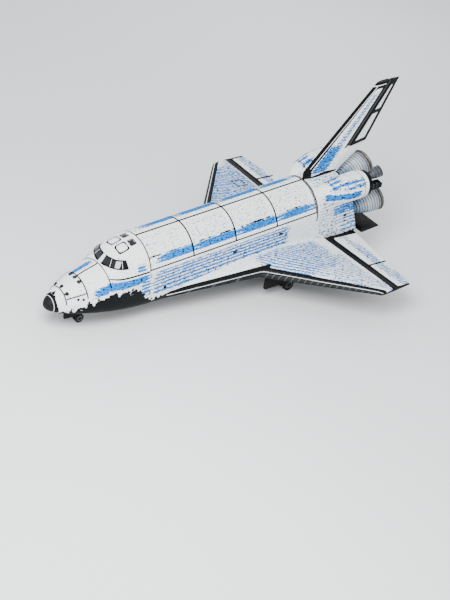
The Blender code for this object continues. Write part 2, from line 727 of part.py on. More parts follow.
def build_wings():
    root = WING_STATIONS[0]
    beside_body = body_cutter(BAY_FRONT_STATION, BODY_END, -GAP, 0.3)
    for name, side in SIDES:
        rows = [(row, row[0]) for row in WING_STATIONS]
        rows.insert(0, (root, WING_BURIED_Y))
        edges, boxes = [], []
        for row, y in rows:
            front = row[1] + row[5]
            edges.append(wing_section(row, side, row[1], front, EDGE_STEPS, y))
            boxes.append(wing_section(row, side, front + GAP, rear_cut(row[0]), CHORD_STEPS, y))
        wing = piece(f"{name}_wing", loft(boxes), "white_blanket")
        for ends in WING_RIBS:
            fuse(wing, loft([rib_section(side, y) for y in ends]))
        edge = piece(f"{name}_leading_edge", loft(edges), "edge_carbon")
        cut(wing, beside_body.copy())
        cut(edge, beside_body.copy())
        y0, y1 = sorted(side * y for y in MAIN_WELL_Y)
        cut(wing, box((MAIN_WELL_X[0], y0, -1), (MAIN_WELL_X[1], y1, MAIN_WELL_Z)))
        build_elevons(name, side)
    beside_body.free()


def elevon_section(side, y):
    radius, middle, rear = hinge_radius(y), hinge_z(y), trailing_x(y)
    arc = [math.pi / 2 + math.pi * i / 6 for i in range(7)]
    points = [(ELEVON_HINGE_X + radius * math.cos(a), middle + radius * math.sin(a)) for a in arc]
    tail = middle - radius * 0.4
    points += [(rear, tail - 0.02), (rear, tail + 0.02)]
    return [across_hinge(side, y, x, z) for x, z in points]


def elevon_axis(side):
    """Along the hinge, so that a positive turn takes the trailing edge down."""
    return Vector((0, 1, side * HINGE_SLOPE)).normalized()


def hinge_point(side, y):
    return Vector((ELEVON_HINGE_X, side * y, hinge_z(y)))


def build_elevons(name, side):
    for place, inner, outer in ELEVON_ENDS:
        sections = [elevon_section(side, y) for y in (inner, outer)]
        elevon = piece(f"{name}_{place}_elevon", loft(sections), "white_tile", hinge_point(side, inner))
        for y, outward in ((inner, -1), (outer, 1)):
            reach = y + outward * (ELEVON_END_GAP - GAP)
            pin = rod(hinge_point(side, y - outward * 0.05), hinge_point(side, reach), 0.05)
            fuse(elevon, pin)


def fin_share(z):
    return (z - FIN_FOOT_Z) / (FIN_TIP_Z - FIN_FOOT_Z)


def fin_lines(z):
    """Swept leading edge, trailing edge and half thickness of the fin at a height."""
    share = fin_share(z)
    leading = FIN_LEADING_X + (FIN_TIP_LEADING_X - FIN_LEADING_X) * share
    trailing = FIN_TRAILING_X + (FIN_TIP_TRAILING_X - FIN_TRAILING_X) * share
    return leading, trailing, FIN_ROOT_HALF + (FIN_TIP_HALF - FIN_ROOT_HALF) * share


def rudder_hinge(z):
    leading, trailing, _ = fin_lines(z)
    return leading + RUDDER_SHARE * (trailing - leading)


def shaft_radius(z):
    return fin_lines(z)[2] * 0.88


# Share of the chord, share of the half thickness
FIN_PROFILE = ((0.0, 0.15), (0.07, 0.55), (0.32, 1.0), (0.60, 0.92), (1.0, 0.10))


def fin_section(z):
    leading, trailing, half = fin_lines(z)
    front = max(leading, FIN_FOOT_X)
    port = []
    for share, thick in FIN_PROFILE:
        port.append((front + share * (trailing - front), -half * thick, z))
    return port + [(x, -y, z) for x, y, _ in reversed(port)]


def rudder_axis():
    low, high = RUDDER_FOOT_Z, FIN_TIP_Z
    return Vector((rudder_hinge(high) - rudder_hinge(low), 0, high - low)).normalized()


def build_fin():
    lean = rudder_axis()
    heights = (5.62, FIN_FOOT_Z + FIN_FOOT_X - FIN_LEADING_X, FIN_TIP_Z)
    fin = piece("tail_fin", loft([fin_section(z) for z in heights]), "white_blanket")
    low, high = RUDDER_FOOT_Z - 0.03, FIN_TIP_Z + 1
    back = [rudder_hinge(z) - (shaft_radius(z) + 0.03) / lean.z for z in (low, high)]
    cut(fin, slab([(back[0], low), (40, low), (40, high), (back[1], high)], -1, 1))
    cut(fin, slab([(31.0, 5.5), (40, 5.5), (40, 7.62), (34.2, 7.62), (31.0, 5.778)], -1, 1))
    cut(fin, body_cutter(BAY_REAR_STATION, BODY_END, -GAP, 0.5))
    start, end = RUDDER_FOOT_Z - 0.03, FIN_TIP_Z - 0.06
    radius = shaft_radius(RUDDER_FOOT_Z)
    foot = start + GAP + radius * lean.x
    pivot = Vector((rudder_hinge(foot), 0, foot))
    top = Vector((rudder_hinge(end), 0, end))
    length = (top - pivot).length
    profile = [(0, 0), (0, radius), (length, shaft_radius(end)), (length, 0)]
    shaft = turned(profile, pivot, top - pivot, SHAFT_STEPS, (1, 0, 0), across_flats=True)
    piece("rudder_shaft", shaft, "bare_metal", pivot)
    for name, side in SIDES:
        rings = []
        for z in (RUDDER_FOOT_Z + 0.02, FIN_TIP_Z - 0.06):
            _, trailing, half = fin_lines(z)
            front = rudder_hinge(z) + (shaft_radius(z) + GAP) / lean.z
            inner, outer = side * RUNNING / 2, side * half * 0.92
            rear = side * half * 0.12
            rings.append([(front, inner, z), (front, outer, z), (trailing, rear, z), (trailing, inner, z)])
        piece(f"{name}_speed_brake", loft(rings), "white_blanket", pivot)


# Tyre outline: share of the half width, radius
TYRE_OUTLINE = ((-0.80, 0.54), (-1.0, 0.72), (-0.86, 0.94), (-0.42, 1.0))


def world_down():
    return Vector((-math.sin(STANCE_ANGLE), 0, -math.cos(STANCE_ANGLE)))


def tyre(centre, size):
    """A tyre with the middle of one facet on the ground."""
    radius, half = size
    line = [(half * across, radius * share) for across, share in TYRE_OUTLINE]
    line += [(-along, r) for along, r in reversed(line)]
    return turned(line, centre, (0, 1, 0), WHEEL_STEPS, world_down(), across_flats=True)


def wheel_set(name, centre, size, track):
    """Twin tyres on two hubs and one turning axle."""
    radius, half = size
    centre = Vector(centre)
    rim = radius * TYRE_OUTLINE[0][1] - GAP
    reach = track + half * 0.75
    ends = (centre - Vector((0, reach, 0)), centre + Vector((0, reach, 0)))
    axle = rod(*ends, AXLE_RADIUS, steps=AXLE_STEPS)
    hubs = piece(f"{name}_wheel_hubs", axle, "bare_metal", centre)
    for side in (-1, 1):
        middle = centre + Vector((0, side * track, 0))
        width = half * 0.78
        dish = [(-width, 0), (-width, rim * 0.45), (-width * 0.45, rim * 0.6), (-width, rim)]
        dish += [(width, rim), (width * 0.45, rim * 0.6), (width, rim * 0.45), (width, 0)]
        hub = turned(dish, middle, (0, 1, 0), WHEEL_STEPS, world_down(), across_flats=True)
        fuse(hubs, hub)
        where = "left" if side < 0 else "right"
        piece(f"{name}_{where}_tyre", tyre(middle, size), "tyre", centre)


def axle_bore(centre, half_width):
    reach = Vector((0, half_width + 0.05, 0))
    radius = (AXLE_RADIUS + GAP) / math.cos(math.pi / AXLE_STEPS)
    return rod(Vector(centre) - reach, Vector(centre) + reach, radius, steps=AXLE_STEPS)


def cross_rod(centre, half_width, radius):
    reach = Vector((0, half_width, 0))
    return rod(Vector(centre) - reach, Vector(centre) + reach, radius)


def nose_axle():
    """The nose axle: low enough for its tyres to reach the ground with the main ones."""
    rise = MAIN_AXLE[0] * math.sin(STANCE_ANGLE) + MAIN_AXLE[2] * math.cos(STANCE_ANGLE)
    drop = NOSE_TYRE[0] - MAIN_TYRE[0] + rise - NOSE_AXLE_X * math.sin(STANCE_ANGLE)
    return Vector((NOSE_AXLE_X, 0, drop / math.cos(STANCE_ANGLE)))


def build_nose_gear():
    axle = nose_axle()
    swivel = 0.05  # height of the joint between the fixed and the steered strut
    top = Vector((NOSE_AXLE_X, 0, NOSE_WELL_Z - GAP))
    leg = piece("nose_gear_leg", rod(top, (NOSE_AXLE_X, 0, swivel), 0.11), "bare_metal")
    fuse(leg, cross_rod((NOSE_AXLE_X, 0, 1.1), NOSE_WELL_HALF - GAP, 0.07))
    fuse(leg, rod((2.50, 0, 1.14), (NOSE_AXLE_X, 0, 0.22), 0.05))
    fuse(leg, cross_rod((2.53, 0, 1.11), NOSE_WELL_HALF - GAP, 0.06))
    strut = rod((NOSE_AXLE_X, 0, swivel - GAP), (NOSE_AXLE_X, 0, axle.z), 0.08)
    steered = piece("nose_strut_lower", strut, "bare_metal", (NOSE_AXLE_X, 0, axle.z))
    fuse(steered, cross_rod(axle, 0.06, 0.11))
    fuse(steered, box((NOSE_AXLE_X - 0.20, -0.05, axle.z + 0.22), (NOSE_AXLE_X, 0.05, axle.z + 0.30)))
    cut(steered, axle_bore(axle, 0.06))
    wheel_set("nose", axle, NOSE_TYRE, NOSE_TRACK)
    x0, x1 = NOSE_WELL_X
    outline = [(x0 + 0.03, 0.05), (x0 + 0.14, -0.14), (x1 - 0.12, -0.28), (x1 - 0.03, -0.10)]
    outline += [(x1 - 0.03, 0.50), (x0 + 0.03, 0.78)]
    for name, side in SIDES:
        y0, y1 = sorted((side * (NOSE_WELL_HALF - GAP - GEAR_DOOR_WALL), side * (NOSE_WELL_HALF - GAP)))
        piece(f"{name}_nose_gear_door", slab(outline, y0, y1), "black_tile")


def build_main_gear():
    x, y, z = MAIN_AXLE
    x0, x1 = MAIN_WELL_X
    outline = [(x0 + 0.04, -1.20), (x0 + 0.30, -1.45), (x1 - 0.30, -1.45), (x1 - 0.04, -1.20)]
    outline += [(x1 - 0.04, 0.30), (x0 + 0.04, 0.30)]
    top = MAIN_WELL_Z - GAP
    trunnion = (MAIN_WELL_Y[1] - MAIN_WELL_Y[0]) / 2 - GAP * 2
    for name, side in SIDES:
        centre = Vector((x, side * y, z))
        leg = rod((x - 0.18, side * y, top), (x - 0.03, side * y, -1.05), 0.16)
        leg = piece(f"{name}_main_gear_leg", leg, "bare_metal")
        fuse(leg, rod((x - 0.04, side * y, -0.9), (x, side * y, z), 0.11))
        fuse(leg, cross_rod(centre, 0.09, 0.17))
        fuse(leg, cross_rod((x - 0.17, side * y, 0.75), trunnion, 0.09))
        fuse(leg, rod((21.9, side * (y + 0.35), top - 0.05), (x - 0.06, side * y, -0.75), 0.055))
        fuse(leg, rod((21.9, side * (y - 0.35), top - 0.05), (x - 0.06, side * y, -0.75), 0.055))
        cut(leg, box((20, side * y - 2, top), (26, side * y + 2, 2)), axle_bore(centre, 0.09))
        wheel_set(f"{name}_main", centre, MAIN_TYRE, MAIN_TRACK)
        edge = MAIN_WELL_Y[1] - GAP
        y0, y1 = sorted((side * (edge - GEAR_DOOR_WALL), side * edge))
        piece(f"{name}_main_gear_door", slab(outline, y0, y1), "black_tile")


def stand_on_wheels():
    """Turns the vehicle nose down, lifts its main tyres onto the ground and centres it on the origin."""
    rise = MAIN_AXLE[0] * math.sin(STANCE_ANGLE) + MAIN_AXLE[2] * math.cos(STANCE_ANGLE)
    stance.rotation_euler = (0, -STANCE_ANGLE, 0)
    stance.location = (0, 0, MAIN_TYRE[0] - rise)
    bpy.context.view_layer.update()
    ends = [bpy.data.objects[name] for name in ("nose_cap", "port_speed_brake")]
    reach = [(obj.matrix_world @ vertex.co).x for obj in ends for vertex in obj.data.vertices]
    stance.location.x = -(min(reach) + max(reach)) / 2


def main():
    global stance
    clear_scene()
    stance = bpy.data.objects.new("stance", None)
    bpy.context.scene.collection.objects.link(stance)
    build_nose_cap()
    build_forward_fuselage()
    build_cabin()
    build_side_hatch()
    build_mid_fuselage()
    build_payload_bay()
    build_aft_fuselage()
    build_umbilical_doors()
    build_body_flap()
    build_engines()
    build_pods()
    build_wings()
    build_fin()
    build_nose_gear()
    build_main_gear()
    stand_on_wheels()


main()
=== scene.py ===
"""Finishes and fine shapes of a full-size winged space shuttle orbiter, parked on its wheels.

Shapes are drawn in the vehicle's own frame, in metres: x aft from the nose tip, y to
starboard, z up from the belly. STANCE turns that frame into the scene's.
"""

import json
import logging
from dataclasses import dataclass
from enum import Enum
from math import acos, asin, atan, atan2, copysign, cos, degrees, pi, radians, sin, sqrt, tan
from typing import Callable, Sequence, Union

import bmesh
import bpy
import numpy as np
from mathutils import Matrix, Vector


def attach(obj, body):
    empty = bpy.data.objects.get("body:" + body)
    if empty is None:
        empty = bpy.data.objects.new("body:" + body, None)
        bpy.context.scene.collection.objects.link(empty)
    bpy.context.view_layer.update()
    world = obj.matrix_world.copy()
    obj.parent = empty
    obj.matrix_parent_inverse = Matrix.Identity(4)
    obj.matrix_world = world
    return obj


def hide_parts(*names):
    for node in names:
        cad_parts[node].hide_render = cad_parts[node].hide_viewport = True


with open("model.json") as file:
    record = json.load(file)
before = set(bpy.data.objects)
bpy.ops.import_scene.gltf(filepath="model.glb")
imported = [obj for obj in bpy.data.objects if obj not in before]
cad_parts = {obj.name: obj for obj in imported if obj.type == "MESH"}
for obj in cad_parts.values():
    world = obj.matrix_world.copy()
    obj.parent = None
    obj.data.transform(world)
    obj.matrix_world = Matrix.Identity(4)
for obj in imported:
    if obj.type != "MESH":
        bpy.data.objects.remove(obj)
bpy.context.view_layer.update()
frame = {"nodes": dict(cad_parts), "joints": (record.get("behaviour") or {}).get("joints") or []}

log = logging.getLogger("orbiter")
Piece, Tree, Socket = bpy.types.Object, bpy.types.NodeTree, bpy.types.NodeSocket
Many, Place, Ring = np.ndarray, Sequence[float], list[Vector]
Pair, Triple = tuple[float, float], tuple[float, float, float]
Profile = Sequence[Pair]
Field = Callable[[Many, Many, Many], Many]
Value = Union[float, tuple, Socket]

INCH = 0.0254
STANCE_ANGLE = radians(4)
MAIN_AXLE = Vector((23.77, -3.45, -2.056))
SIDES = (("port", -1), ("starboard", 1))


def stance() -> Matrix:
    """The turn and lift from the vehicle's frame to the scene's.

    Returns:
        The matrix that puts the port main axle on its joint, 4 degrees nose down.
    """
    turn = Matrix.Rotation(-STANCE_ANGLE, 4, "Y")
    joint = next(j for j in frame["joints"] if j["name"] == "port_main_wheel_spin")
    return Matrix.Translation(Vector(joint["pos_m"]) - turn @ MAIN_AXLE) @ turn


STANCE = stance()


def deselect_all() -> None:
    """Leaves nothing selected."""
    for obj in bpy.context.selected_objects:
        obj.select_set(False)


def make_active(obj: Piece) -> None:
    """Selects one object alone and makes it the active one."""
    deselect_all()
    obj.select_set(True)
    bpy.context.view_layer.objects.active = obj


def loft(name: str, rings: Sequence[Ring], capped: bool = True) -> Piece:
    """A circle shaped to the first ring and extruded from ring to ring.

    Args:
        name: The piece's name.
        rings: Outlines of equally many points each.
        capped: Whether the first and last ring stay closed.

    Returns:
        The new object, its faces pointing out.
    """
    deselect_all()
    bpy.ops.mesh.primitive_circle_add(vertices=len(rings[0]), fill_type="NGON")
    obj = bpy.context.object
    obj.name = name
    bpy.ops.object.mode_set(mode="EDIT")
    mesh = bmesh.from_edit_mesh(obj.data)
    slot = mesh.verts.layers.int.new("slot")
    for i, vert in enumerate(next(iter(mesh.faces)).verts):
        vert[slot] = i
        vert.co = rings[0][i]
    for ring in rings[1:]:
        bpy.ops.mesh.extrude_region()
        mesh = bmesh.from_edit_mesh(obj.data)
        for vert in mesh.verts:
            if vert.select:
                vert.co = ring[vert[slot]]
    if not capped:
        mesh = bmesh.from_edit_mesh(obj.data)
        mesh.faces.ensure_lookup_table()
        ends = [face for face in mesh.faces if len(face.verts) == len(rings[0]) and len(rings[0]) > 4]
        bmesh.ops.delete(mesh, geom=ends, context="FACES_ONLY")
        bmesh.update_edit_mesh(obj.data)
    bpy.ops.mesh.select_all(action="SELECT")
    if not capped:
        bpy.ops.mesh.remove_doubles(threshold=1e-5)
    bpy.ops.mesh.normals_make_consistent(inside=False)
    bpy.ops.object.mode_set(mode="OBJECT")
    return obj


def circle(centre: Vector, axis: Vector, radius: float, steps: int, start: Vector | None = None) -> Ring:
    """Points round an axis.

    Args:
        centre: The circle's middle.
        axis: The direction it is square to.
        radius: Its radius.
        steps: How many points.
        start: The direction of the first point, or any.

    Returns:
        The ring.
    """
    axis = Vector(axis).normalized()
    first = Vector(start) if start is not None else axis.orthogonal()
    first = (first - first.dot(axis) * axis).normalized()
    second = axis.cross(first)
    turns = [2 * pi * i / steps for i in range(steps)]
    return [Vector(centre) + (first * cos(a) + second * sin(a)) * radius for a in turns]


def turned(name: str, profile: Profile, base: Place, axis: Place, steps: int = 48) -> Piece:
    """A turned shape.

    Args:
        name: The piece's name.
        profile: Distance along the axis and radius, from one end to the other.
        base: Where the distance is 0.
        axis: The axis' direction.
        steps: Points round it.

    Returns:
        The new object.
    """
    base, axis = Vector(base), Vector(axis).normalized()
    rings = [circle(base + axis * along, axis, max(radius, 1e-4), steps) for along, radius in profile]
    return loft(name, rings)


def turned_ring(name: str, profile: Profile, base: Place, axis: Place, steps: int = 48) -> Piece:
    """A ring turned from a closed profile of five points or more, open in its middle.

    Args:
        name: The piece's name.
        profile: Distance along the axis and radius, round the ring's section.
        base: Where the distance is 0.
        axis: The axis' direction.
        steps: Points round it.

    Returns:
        The new object.
    """
    base, axis = Vector(base), Vector(axis).normalized()
    outer = [circle(base + axis * along, axis, radius, steps) for along, radius in profile]
    rings = [[ring[i % steps] for ring in outer] for i in range(steps + 1)]
    return loft(name, rings, capped=False)


def ball(radius: float, steps: int, count: int = 0) -> Profile:
    """The first count steps, or all, of half a circle's profile, from behind its middle to ahead of it."""
    turns = [pi * i / steps for i in range((count or steps) + 1)]
    return [(-radius * cos(a), radius * sin(a)) for a in turns]


def rod(name: str, start: Place, end: Place, radius: float, steps: int = 20) -> Piece:
    """A round bar with small chamfers at both ends.

    Args:
        name: The piece's name.
        start: The middle of its first end.
        end: The middle of its other end.
        radius: Its radius.
        steps: Points round it.

    Returns:
        The new object.
    """
    start, end = Vector(start), Vector(end)
    length = (end - start).length
    chamfer = min(radius * 0.15, length * 0.2)
    profile = ((0, radius - chamfer), (chamfer, radius), (length - chamfer, radius), (length, radius - chamfer))
    return turned(name, profile, start, end - start, steps)


def pin(name: str, middle: Place, half: float, radius: float, steps: int = 20) -> Piece:
    """A round bar across the vehicle, half metres long to each side of its middle."""
    reach = Vector((0, half, 0))
    return rod(name, Vector(middle) - reach, Vector(middle) + reach, radius, steps)


def pipe(name: str, path: Sequence[Place], radius: float, steps: int = 10) -> Piece:
    """A bent tube.

    Args:
        name: The piece's name.
        path: Points that are already a smooth line.
        radius: The tube's radius.
        steps: Points round it.

    Returns:
        The new object.
    """
    points = [Vector(point) for point in path]
    rings = []
    for i, point in enumerate(points):
        along = points[min(i + 1, len(points) - 1)] - points[max(i - 1, 0)]
        rings.append(circle(point, along, radius, steps, Vector((0.31, 0.2, 1))))
    return loft(name, rings)


def block(name: str, low: Place, high: Place, bevel: float = 0.0) -> Piece:
    """A rectangular block.

    Args:
        name: The piece's name.
        low: One corner.
        high: The corner across from it.
        bevel: How far its edges are rounded.

    Returns:
        The new object.
    """
    deselect_all()
    low, high = Vector(low), Vector(high)
    bpy.ops.mesh.primitive_cube_add(size=1, location=(low + high) / 2)
    obj = bpy.context.object
    obj.name = name
    obj.scale = [abs(value) for value in high - low]
    bpy.ops.object.transform_apply(location=True, rotation=True, scale=True)
    if bevel:
        modify(obj, "BEVEL", width=bevel, segments=2, limit_method="ANGLE")
    return obj


def prism(name: str, outline: Sequence[Sequence[float]], reach: Sequence[float]) -> Piece:
    """An outline of points extruded along a vector."""
    ring = [Vector(point) for point in outline]
    return loft(name, [ring, [point + Vector(reach) for point in ring]])


def modify(obj: Piece, kind: str, **settings: object) -> Piece:
    """Adds one modifier and applies it.

    Args:
        obj: The piece.
        kind: The modifier's type.
        settings: Its properties.

    Returns:
        The piece.
    """
    make_active(obj)
    modifier = obj.modifiers.new(kind.title(), kind)
    for key, value in settings.items():
        setattr(modifier, key, value)
    bpy.ops.object.modifier_apply(modifier=modifier.name)
    return obj


def boolean(obj: Piece, operation: str, tools: Sequence[Piece]) -> Piece:
    """Applies a Boolean with each tool in turn and removes the tools.

    Args:
        obj: The piece.
        operation: What the tools do to it.
        tools: The shapes that work on it.

    Returns:
        The piece.
    """
    for tool in tools:
        modify(obj, "BOOLEAN", object=tool, operation=operation, solver="EXACT")
        bpy.data.objects.remove(tool, do_unlink=True)
    return obj


def cut(obj: Piece, *tools: Piece) -> Piece:
    """Takes the tools' volumes away."""
    return boolean(obj, "DIFFERENCE", tools)


def keep(obj: Piece, *tools: Piece) -> Piece:
    """Keeps what lies inside the tools."""
    return boolean(obj, "INTERSECT", tools)


def join(name: str, parts: Sequence[Piece]) -> Piece:
    """One object of several that only touch.

    Args:
        name: The joined piece's name.
        parts: The pieces.

    Returns:
        The joined piece.
    """
    deselect_all()
    for part in parts:
        part.select_set(True)
    bpy.context.view_layer.objects.active = parts[0]
    if len(parts) > 1:
        bpy.ops.object.join()
    parts[0].name = name
    return parts[0]


def coordinates(obj: Piece) -> Many:
    """The mesh's points as an array of x, y and z columns."""
    points = np.zeros(len(obj.data.vertices) * 3)
    obj.data.vertices.foreach_get("co", points)
    return points.reshape(-1, 3)


def map_skin(obj: Piece, across: Field, up: Field) -> None:
    """Gives the piece a UV map in metres, for patterns that follow its surface.

    Args:
        obj: The piece.
        across: The map's first coordinate at a point.
        up: The map's second coordinate at a point.
    """
    sides = coordinates(obj).T
    place = np.stack([across(*sides), up(*sides)], axis=1)
    corner = np.zeros(len(obj.data.loops), dtype=np.int32)
    obj.data.loops.foreach_get("vertex_index", corner)
    layer = obj.data.uv_layers.get("skin") or obj.data.uv_layers.new(name="skin")
    layer.data.foreach_set("uv", place[corner].astype(np.float32).ravel())


def paint(obj: Piece, name: str, field: Field) -> None:
    """Stores a field on the piece's points.

    Args:
        obj: The piece.
        name: The attribute's name.
        field: The value at a point of the vehicle's frame.
    """
    values = np.broadcast_to(field(*coordinates(obj).T), len(obj.data.vertices))
    layer = obj.data.attributes.get(name) or obj.data.attributes.new(name, "FLOAT", "POINT")
    layer.data.foreach_set("value", values.astype(np.float32))


def rgba(code: str) -> tuple[float, float, float, float]:
    """An sRGB hex colour as the linear colour that a shader takes."""
    parts = [int(code[i : i + 2], 16) / 255 for i in (1, 3, 5)]
    return (*[c / 12.92 if c <= 0.04045 else ((c + 0.055) / 1.055) ** 2.4 for c in parts], 1.0)


def add(tree: Tree, kind: str, inputs: dict[str | int, Value], out: str | int = 0, **settings: object) -> Socket:
    """Adds a shader node with its settings and links.

    Args:
        tree: The material's node tree.
        kind: The node's type, without its prefix.
        inputs: Input name or index, and the constant or socket for it.
        out: The name or index of the output that is wanted.
        settings: The node's own properties.

    Returns:
        The wanted output.
    """
    node = tree.nodes.new(f"ShaderNode{kind}")
    for key, value in settings.items():
        setattr(node, key, value)
    for key, value in inputs.items():
        if isinstance(value, Socket):
            tree.links.new(value, node.inputs[key])
        else:
            node.inputs[key].default_value = value
    return node.outputs[out]


@dataclass(frozen=True)
class Finish:
    """What every finish has: a name, its colour and how it shines."""

    name: str
    colour: str
    roughness: float = 0.6
    metallic: float = 0.0
    coat: float = 0.0
    specular: float = 0.5

    def material(self) -> bpy.types.Material:
        """The Blender material, made on its first use."""
        found = bpy.data.materials.get(self.name)
        if found:
            return found
        made = bpy.data.materials.new(self.name)
        made.use_nodes = True
        made.diffuse_color = rgba(self.colour)
        inputs = made.node_tree.nodes["Principled BSDF"].inputs
        inputs["Base Color"].default_value = rgba(self.colour)
        inputs["Roughness"].default_value = self.roughness
        inputs["Metallic"].default_value = self.metallic
        inputs["Coat Weight"].default_value = self.coat
        inputs["Specular IOR Level"].default_value = self.specular
        for name, socket in self.pattern(made.node_tree).items():
            made.node_tree.links.new(socket, inputs[name])
        return made

    def pattern(self, tree: Tree) -> dict[str, Socket]:
        """The surface's own pattern, by shader input; a plain finish has none."""
        return {}


@dataclass(frozen=True)
class Grained(Finish):
    """A paint, metal or rubber with clouds of tone and a fine grain, both by real size."""

    second: str = "#808080"
    cloud_mm: float = 600.0
    grain_mm: float = 20.0
    relief_mm: float = 0.5

    def pattern(self, tree: Tree) -> dict[str, Socket]:
        """Mixes two tones by clouds and roughens the surface by grain.

        Args:
            tree: The material's node tree.

        Returns:
            What feeds the shader's inputs.
        """
        place = add(tree, "TexCoord", {}, "Object")
        clouds = add(tree, "TexNoise", {"Vector": place, "Scale": 1000 / self.cloud_mm, "Detail": 4.0})
        grain = add(tree, "TexNoise", {"Vector": place, "Scale": 1000 / self.grain_mm, "Detail": 3.0})
        share = add(tree, "MapRange", {0: clouds, 1: 0.35, 2: 0.7})
        tones = {0: share, 6: rgba(self.colour), 7: rgba(self.second)}
        gloss = {0: grain, 1: 0.3, 2: 0.7, 3: self.roughness * 0.85, 4: min(self.roughness * 1.15, 1)}
        bump = {"Height": grain, "Distance": self.relief_mm / 1000, "Strength": 0.6}
        return {
            "Base Color": add(tree, "Mix", tones, 2, data_type="RGBA"),
            "Roughness": add(tree, "MapRange", gloss),
            "Normal": add(tree, "Bump", bump),
        }


